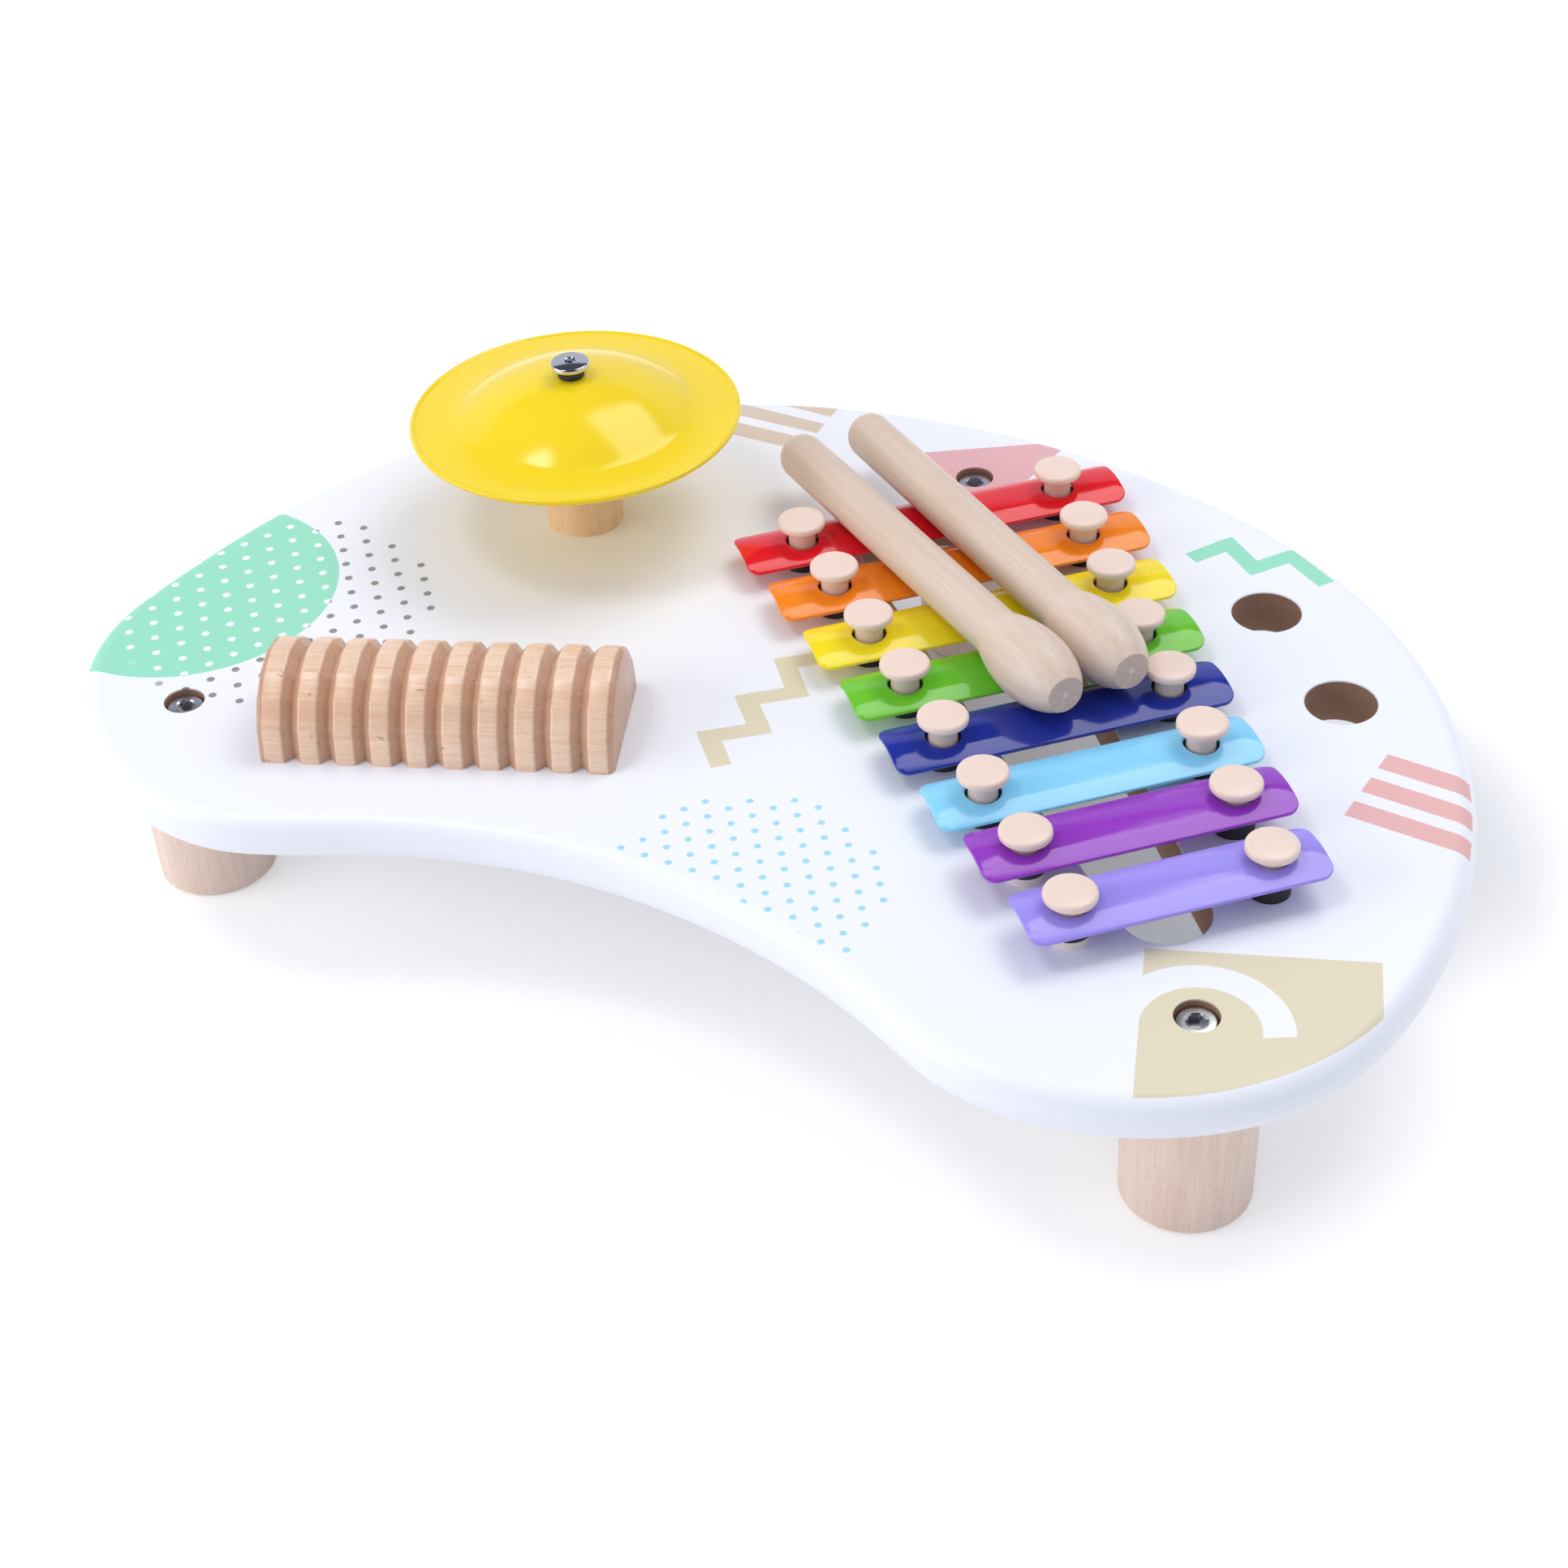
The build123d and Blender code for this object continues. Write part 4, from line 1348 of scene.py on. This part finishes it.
@dataclass
class CymbalStand:
    """A yellow cymbal, loose on a rubber bush on top of a wooden post."""

    # The cymbal, whose rim's height is the height of its bead's middle over the board.
    centre: Point = (-99.4, 45.3)
    radius: float = 53.0
    rim_height: float = 38.7
    height: float = 14.3
    sheet: float = 1.0
    dome_radius: float = 38.5
    dome_start: float = 9.0
    dome_steps: int = 18
    flange_rise: float = 1.5
    foot_run: float = 2.2
    foot_lift: float = 0.35
    foot_round: float = 1.9
    edge_run: float = 1.2
    edge_lift: float = 0.1
    bead: float = 1.0
    bead_angles: range = range(-50, 231, 20)
    turn_steps: int = 144
    soft_steps: int = 5

    # The pressed ring round its hole: radius, depth below the top, and rounding.
    ring: tuple[Place, ...] = ((3.8, 0.12, 0.0), (6.2, 0.2, 0.5), (7.3, 0.52, 0.5))

    screw_seat: float = 56.4
    screw_radius: float = 6.2
    screw_height: float = 2.15
    screw_crown: float = 0.55
    screw_crown_steps: int = 10
    screw_turn_steps: int = 96
    screw_edge: float = 0.75
    screw_corner: float = 0.3
    screw_shank: float = 2.25
    screw_length: float = 28.0
    screw_tip: float = 0.4
    socket: float = 3.0
    socket_depth: float = 1.3
    socket_lip: float = 0.25
    socket_bevel: float = 0.66  # the bevel's radius, as a share of the socket's width

    post_pith: Place = (-112.0, 37.0, 0.0)

    def upper_line(self) -> list[Place]:
        """Draw the cymbal's upper side in section.

        Returns:
            The half-section's corners, from the hole to where the edge rolls over.
        """
        top = self.rim_height + self.height
        curve = arch(self.dome_radius, self.height - self.flange_rise)
        ring = [(radius, top - depth, rounding) for radius, depth, rounding in self.ring]
        dome = crown(top, curve, self.dome_start, self.dome_radius - self.foot_run,
                     self.dome_steps)
        foot = (self.dome_radius, self.rim_height + self.flange_rise + self.sheet * self.foot_lift,
                self.foot_round)
        edge = (self.radius - self.bead - self.edge_run,
                self.rim_height + self.sheet / 2 + self.edge_lift, 0.0)
        return [*ring, *dome, foot, edge]

    def cymbal(self) -> bmesh.types.BMesh:
        """Make the cymbal: both sides of the sheet, joined by the rolled edge and the hole's wall.

        Returns:
            The cymbal, its axis over the origin and the board's top at height 0.
        """
        upper = self.upper_line()
        lower = [(radius, height - self.sheet, rounding) for radius, height, rounding in upper]
        roll = [
            (self.radius - self.bead + self.bead * math.sin(math.radians(angle)),
             self.rim_height + self.bead * math.cos(math.radians(angle)), 0.0)
            for angle in self.bead_angles
        ]
        return turned([*upper, *roll, *reversed(lower), upper[0]], self.turn_steps,
                      self.soft_steps)

    def screw(self) -> bmesh.types.BMesh:
        """Make the flat crowned screw with its hexagon socket.

        Returns:
            The screw, its seat at the origin.
        """
        mouth = self.socket * self.socket_bevel
        *head, (rim, rim_height, _) = crown(
            self.screw_height, arch(self.screw_radius, self.screw_crown), mouth,
            self.screw_radius, self.screw_crown_steps)
        mesh = turned([
            *head,
            (rim, rim_height, self.screw_edge),
            (self.screw_radius, 0.0, self.screw_corner),
            (self.screw_shank, 0.0, 0.0),
            (self.screw_shank, -self.screw_length, self.screw_tip),
            (0.0, -self.screw_length, 0.0),
        ], self.screw_turn_steps)
        cut_socket(mesh, self.socket, head[0][1], self.socket_depth, self.socket_lip)
        return mesh

    def build(self) -> None:
        """Build the cymbal and its screw and dress the post and what lies between."""
        place = Matrix.Translation((*self.centre, BOARD_TOP))
        axis = (*self.centre, 0.0)
        # Yellow enamel over spun steel: a softer shine than the bars' and longer waves.
        enamel = Enamel("stoved_enamel_cymbal", "#FDDC24", roughness=0.13, flow_mm=14.0,
                        flow_height=0.03)
        piece = finished(self.cymbal(), "spun_cymbal", place, enamel.material(), sharp=50.0)
        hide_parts("cymbal")
        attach(piece, "cymbal")
        # Polished chrome: a clear mirror, a little blue.
        chrome = TurnedMetal("polished_chrome", "#DADDE2", 0.07, axis, ring_height=0.0005)
        piece = finished(self.screw(), "dome_screw",
                         place @ Matrix.Translation((0, 0, self.screw_seat)),
                         chrome.material(), sharp=30.0)
        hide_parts("cymbal_screw")
        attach(piece, "table")
        # Turned beech of a yellower board than the legs.
        post = Wood("beech_post", "#F8D7AB", "#EEC594", "#CDA070", centre=self.post_pith)
        dress_nodes(post.material(), "cymbal_post")
        dress_nodes(Rubber("black_rubber_bush").material(), "cymbal_bush", "cymbal_collar")
        # Plain and zinc-plated steel: grey, with a broad dull shine.
        washer = TurnedMetal("plain_steel_washer", "#B9BCC0", 0.3, axis)
        dress_nodes(washer.material(), "cymbal_washer")
        screw = TurnedMetal("zinc_plated_post_screw", "#C4C6CA", 0.3, axis)
        dress_nodes(screw.material(), "post_screw")


@dataclass
class Scraper:
    """A half-round beech block with nine grooves across it."""

    centre: Point = (-83.6, -68.4)
    angle: float = 18.8
    length: float = 105.4
    width: float = 45.0
    side: float = 2.5
    facets: int = 8
    facet_soft: float = 0.4
    facet_soft_steps: int = 3
    grooves: int = 9
    pitch: float = 10.7

    # Half a groove and the two rounded ends: distance from the groove's middle or the end, and
    # depth.
    groove: tuple[Point, ...] = (
        (3.2, 0.0), (2.95, 0.04), (2.7, 0.17), (2.4, 0.41), (0.25, 2.74), (0.0, 2.9))
    first_end: tuple[Point, ...] = ((0.0, 1.3), (0.3, 0.62), (0.8, 0.18), (1.4, 0.0))
    last_end: tuple[Point, ...] = ((0.0, 2.3), (0.35, 1.35), (1.0, 0.55), (1.9, 0.13), (2.9, 0.0))

    def outline(self, mesh: bmesh.types.BMesh) -> list[bmesh.types.BMEdge]:
        """Draw the closed half-round outline with soft corners, standing in the plane X = 0.

        Args:
            mesh: The empty mesh that gets it.

        Returns:
            Its edges.
        """
        ring = bmesh.ops.create_circle(
            mesh, cap_ends=False, radius=self.width / 2, segments=2 * self.facets)["verts"]
        bmesh.ops.rotate(mesh, verts=ring, matrix=Matrix.Rotation(math.pi / 2, 3, "Y"))
        bmesh.ops.translate(mesh, vec=(0, 0, self.side), verts=ring)
        bmesh.ops.delete(mesh, context="VERTS",
                         geom=[vert for vert in mesh.verts if vert.co.z < self.side - HAIR])
        ends = [vert for vert in mesh.verts if len(vert.link_edges) == 1]
        feet = bmesh.ops.extrude_vert_indiv(mesh, verts=ends)["verts"]
        bmesh.ops.translate(mesh, vec=(0, 0, -self.side), verts=feet)
        bmesh.ops.contextual_create(mesh, geom=feet)
        bmesh.ops.bevel(mesh, geom=[vert for vert in mesh.verts if vert not in feet],
                        offset=self.facet_soft, segments=self.facet_soft_steps, profile=0.5,
                        affect="VERTICES", material=-1)
        return mesh.edges[:]

    def stations(self) -> list[Point]:
        """List where along the block the outline stops.

        Returns:
            Each stop's distance from the block's middle, and how deep the surface lies there.
        """
        half = self.length / 2
        stops = [(-half + reach, depth) for reach, depth in self.first_end]
        stops += [(half - reach, depth) for reach, depth in self.last_end]
        for number in range(self.grooves):
            middle = (number - (self.grooves - 1) / 2) * self.pitch
            stops += [(middle + way * reach, depth)
                      for reach, depth in self.groove for way in (-1, 1) if reach]
            stops.append((middle, self.groove[-1][1]))
        return sorted(stops)

    def block(self) -> bmesh.types.BMesh:
        """Make the block: its outline, drawn out along X through every station.

        Returns:
            The block, the middle of its foot at the origin.
        """
        mesh = bmesh.new()
        edges = self.outline(mesh)
        axis = Matrix.Translation((0, 0, -self.side))
        place, size = 0.0, 1.0
        for number, (along, depth) in enumerate(self.stations()):
            if number:
                drawn = bmesh.ops.extrude_edge_only(mesh, edges=edges)["geom"]
                edges = of_kind(drawn, bmesh.types.BMEdge)
            verts = list({vert for edge in edges for vert in edge.verts})
            feet = [vert for vert in verts if vert.co.z < HAIR]
            share = 1 - depth / (self.width / 2)
            bmesh.ops.scale(mesh, vec=(1, share / size, share / size), space=axis, verts=verts)
            bmesh.ops.translate(mesh, vec=(along - place, 0, 0), verts=verts)
            for vert in feet:
                vert.co.z = 0.0
            place, size = along, share
        bmesh.ops.holes_fill(mesh, edges=[edge for edge in mesh.edges if edge.is_boundary],
                             sides=0)
        bmesh.ops.recalc_face_normals(mesh, faces=mesh.faces[:])
        return mesh

    def build(self) -> None:
        """Build the block and dress its screws."""
        turn = math.radians(self.angle)
        wood = RibbedWood(
            "ribbed_beech", "#F8D8BC", "#E6BC9A", "#C99B76", centre=(*self.centre, BOARD_TOP),
            turn=(0.0, 0.0, turn), roughness=0.25, fleck_share=0.25, pitch_mm=self.pitch)
        place = (Matrix.Translation((*self.centre, BOARD_TOP))
                 @ Matrix.Rotation(turn, 4, "Z"))
        piece = finished(self.block(), "scraper_block", place, wood.material(), sharp=40.0)
        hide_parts("guiro")
        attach(piece, "table")
        # Zinc-plated steel: grey, with a broad dull shine.
        zinc = TurnedMetal("zinc_plated_block_screw", "#C4C6CA", 0.3, (*self.centre, 0.0))
        dress_nodes(zinc.material(), "guiro_screws")


@dataclass
class Mallets:
    """Two turned mallets that lie across the bars."""

    # Each head's end over the board, and the mallet's direction in degrees.
    ends: dict[str, tuple[Place, float]] = field(default_factory=lambda: {
        "left": ((89.9, -15.0, 21.1), 142.7), "right": ((103.4, 2.8, 21.0), 141.7)})
    tilt: float = 1.9

    def build(self) -> None:
        """Dress both mallets, each with its own grain."""
        for side, ((x, y, height), way) in self.ends.items():
            wood = MalletWood(
                f"turned_pale_wood_{side}", "#E4D1BF", "#DAC3AE", "#C8AA91",
                centre=(x, y, BOARD_TOP + height),
                turn=(0.0, math.radians(self.tilt), math.radians(way)),
                roughness=0.4, band_mm=5.0, streak_mm=1.1, fleck_mm=0.7, fleck_share=0.22)
            dress_nodes(wood.material(), f"mallet_{side}")


@dataclass(frozen=True)
class Softbox:
    """A soft rectangular lamp that points at the middle of the table.

    Attributes:
        name: The lamp's name.
        place: Where it hangs, in metres.
        size: Its width and height in metres.
        power: Its power in watts.
        tint: Its colour.
        target: The point that it lights, in metres.
    """

    name: str
    place: Place
    size: Point
    power: float
    tint: str
    target: Place = (0.0, 0.0, 0.06)

    def hang(self) -> None:
        """Build the lamp."""
        data = bpy.data.lights.new(self.name, "AREA")
        data.shape = "RECTANGLE"
        data.size, data.size_y = self.size
        data.energy = self.power
        data.color = linear(self.tint)[:3]
        lamp = bpy.data.objects.new(self.name, data)
        aim = (Vector(self.target) - Vector(self.place)).to_track_quat("-Z", "Y")
        lamp.matrix_world = Matrix.Translation(self.place) @ aim.to_matrix().to_4x4()
        bpy.context.scene.collection.objects.link(lamp)


@dataclass
class Studio:
    """A pale floor, soft lamps and the camera, in metres and degrees."""

    camera_place: Place = (0.2968, -0.5997, 0.5476)
    camera_way: Place = (-0.3550, 0.6967, -0.6233)
    camera_roll: float = -3.12
    lens: float = 62.33
    sensor: float = 36.0
    clip: Point = (0.01, 50.0)

    # Two softboxes overhead and a broad panel on the left.
    lamps: tuple[Softbox, ...] = (
        Softbox("rear_softbox", (0.30, 0.66, 1.36), (1.0, 0.75), 7.5, "#FFFCF8"),
        Softbox("front_softbox", (-0.50, -0.35, 1.45), (0.38, 0.38), 3.2, WHITE),
        Softbox("left_panel", (-1.5, -1.25, 0.80), (1.5, 1.1), 14.5, "#FFFDFB"),
    )

    # The floor glows with painted light, seen by the camera and in reflections, which lifts it
    # towards white and lightens the table's shadow on it, but not in an oval under the table, and
    # it fades to plain white further off.
    floor_size: float = 6.0
    paper: str = "#F8F8F6"
    painted_floor_light: float = 0.28
    dim_centre: Point = (0.03, 0.06)
    dim_reach: Point = (0.22, 0.12)
    dim_edge: Point = (0.75, 1.05)
    fade: Point = (0.7, 1.5)

    # The surrounding: its tint and level as light, and what shiny things see in it, which is a
    # bright sweep up to a height, dark above it, and dark in one direction.
    sky: str = "#EAEFFF"
    sky_level: float = 0.67
    sweep_level: float = 0.75
    sweep_edge: Point = (0.56, 0.62)
    dark_level: float = 0.1
    dark_way: Place = (0.42, -0.86, 0.28)
    dark_edge: Point = (0.72, 0.86)

    def build(self) -> None:
        """Build the floor, the lamps, the world and the camera."""
        self.floor()
        for lamp in self.lamps:
            lamp.hang()
        self.world()
        self.camera()

    def camera(self) -> None:
        """Build the camera."""
        data = bpy.data.cameras.new("camera")
        data.lens = self.lens
        data.sensor_width = self.sensor
        data.clip_start, data.clip_end = self.clip
        camera = bpy.data.objects.new("camera", data)
        way = Vector(self.camera_way).normalized()
        right = way.cross(Vector((0, 0, 1))).normalized()
        up = right.cross(way)
        place = Matrix((right, up, -way)).transposed().to_4x4()
        camera.matrix_world = (Matrix.Translation(self.camera_place) @ place
                               @ Matrix.Rotation(math.radians(self.camera_roll), 4, "Z"))
        bpy.context.scene.collection.objects.link(camera)
        bpy.context.scene.camera = camera

    def floor(self) -> None:
        """Build the floor."""
        mesh = bmesh.new()
        bmesh.ops.create_grid(mesh, x_segments=1, y_segments=1, size=self.floor_size / 2)
        data = bpy.data.meshes.new("floor")
        mesh.to_mesh(data)
        mesh.free()
        floor = bpy.data.objects.new("floor", data)
        bpy.context.scene.collection.objects.link(floor)
        data.materials.append(self.white_paper())

    def white_paper(self) -> bpy.types.Material:
        """Make the floor's paper, matt and white to the camera where no shadow falls, with painted
        light that also lightens the table's shadow outside an oval under the table.

        Returns:
            The new material.
        """
        material = bpy.data.materials.new("white_paper")
        material.use_nodes = True
        tree = material.node_tree
        tree.nodes.clear()
        rays = add_node(tree, "LightPath").outputs
        ground = add_node(tree, "TexCoord").outputs["Object"]
        seen = add_node(tree, "Math", {"operation": "MAXIMUM"}, {
            0: rays["Is Camera Ray"], 1: rays["Is Glossy Ray"]})
        oval = add_node(tree, "Mapping", {"vector_type": "TEXTURE"}, {
            "Vector": ground, "Location": (*self.dim_centre, 0.0),
            "Scale": (*self.dim_reach, 1.0)})
        reach = add_node(tree, "VectorMath", {"operation": "LENGTH"}, {0: oval})
        # Painted light: a glow that whitens the floor and lightens the table's shadow on it, none
        # in the oval under the table.
        level = add_node(tree, "MapRange", SMOOTH, {
            "Value": reach, "From Min": self.dim_edge[0], "From Max": self.dim_edge[1],
            "To Min": 0.0, "To Max": self.painted_floor_light})
        lift = add_node(tree, "Math", {"operation": "MULTIPLY"}, {0: seen, 1: level})
        paper = add_node(tree, "BsdfDiffuse", inputs={"Color": linear(self.paper)})
        glow = add_node(tree, "Emission", inputs={"Color": linear(WHITE), "Strength": lift})
        paper_with_painted_light = add_node(tree, "AddShader", inputs={0: paper, 1: glow})
        away = add_node(tree, "VectorMath", {"operation": "LENGTH"}, {0: ground})
        fade = add_node(tree, "MapRange", SMOOTH, {
            "Value": away, "From Min": self.fade[0], "From Max": self.fade[1]})
        faded = add_node(tree, "Math", {"operation": "MULTIPLY"}, {0: seen, 1: fade})
        white = add_node(tree, "Emission", inputs={"Color": linear(WHITE), "Strength": 1.0})
        sweep = add_node(tree, "MixShader", inputs={0: faded, 1: paper_with_painted_light, 2: white})
        add_node(tree, "OutputMaterial", inputs={"Surface": sweep})
        return material

    def world(self) -> None:
        """Set a plain pale surrounding, white to the camera."""
        world = bpy.data.worlds.new("studio")
        bpy.context.scene.world = world
        world.use_nodes = True
        tree = world.node_tree
        tree.nodes.clear()
        rays = add_node(tree, "LightPath").outputs
        way = add_node(tree, "TexCoord").outputs["Generated"]
        axes = add_node(tree, "SeparateXYZ", inputs={"Vector": way})
        sweep = add_node(tree, "MapRange", SMOOTH, {
            "Value": axes.outputs["Z"], "From Min": self.sweep_edge[0],
            "From Max": self.sweep_edge[1], "To Min": self.sweep_level,
            "To Max": self.dark_level})
        forwards = add_node(tree, "VectorMath", {"operation": "DOT_PRODUCT"}, {
            0: way, 1: Vector(self.dark_way).normalized()})
        room = add_node(tree, "MapRange", SMOOTH, {
            "Value": forwards, "From Min": self.dark_edge[0], "From Max": self.dark_edge[1],
            "To Min": 1.0, "To Max": self.dark_level})
        shine = add_node(tree, "Math", {"operation": "MULTIPLY"}, {0: sweep, 1: room})
        level = add_node(tree, "Mix", NUMBERS, {
            "Factor": rays["Is Glossy Ray"], "A": self.sky_level, "B": shine})
        strength = add_node(tree, "Mix", NUMBERS, {
            "Factor": rays["Is Camera Ray"], "A": level, "B": 1.0})
        tint = add_node(tree, "Mix", COLOURS, {
            "Factor": rays["Is Camera Ray"], "A": linear(self.sky), "B": linear(WHITE)})
        sky = add_node(tree, "Background", inputs={"Color": tint, "Strength": strength})
        add_node(tree, "OutputWorld", inputs={"Surface": sky})


def main() -> None:
    """Build the table's looks."""
    logging.basicConfig(level=logging.INFO, format="%(name)s %(message)s")
    bpy.context.scene.view_settings.view_transform = "Standard"
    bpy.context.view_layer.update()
    for assembly in (Board(), Xylophone(), CymbalStand(), Scraper(), Mallets(), Studio()):
        LOG.info("building %s", type(assembly).__name__)
        assembly.build()
    bpy.context.view_layer.update()


if __name__ == "__main__":
    main()
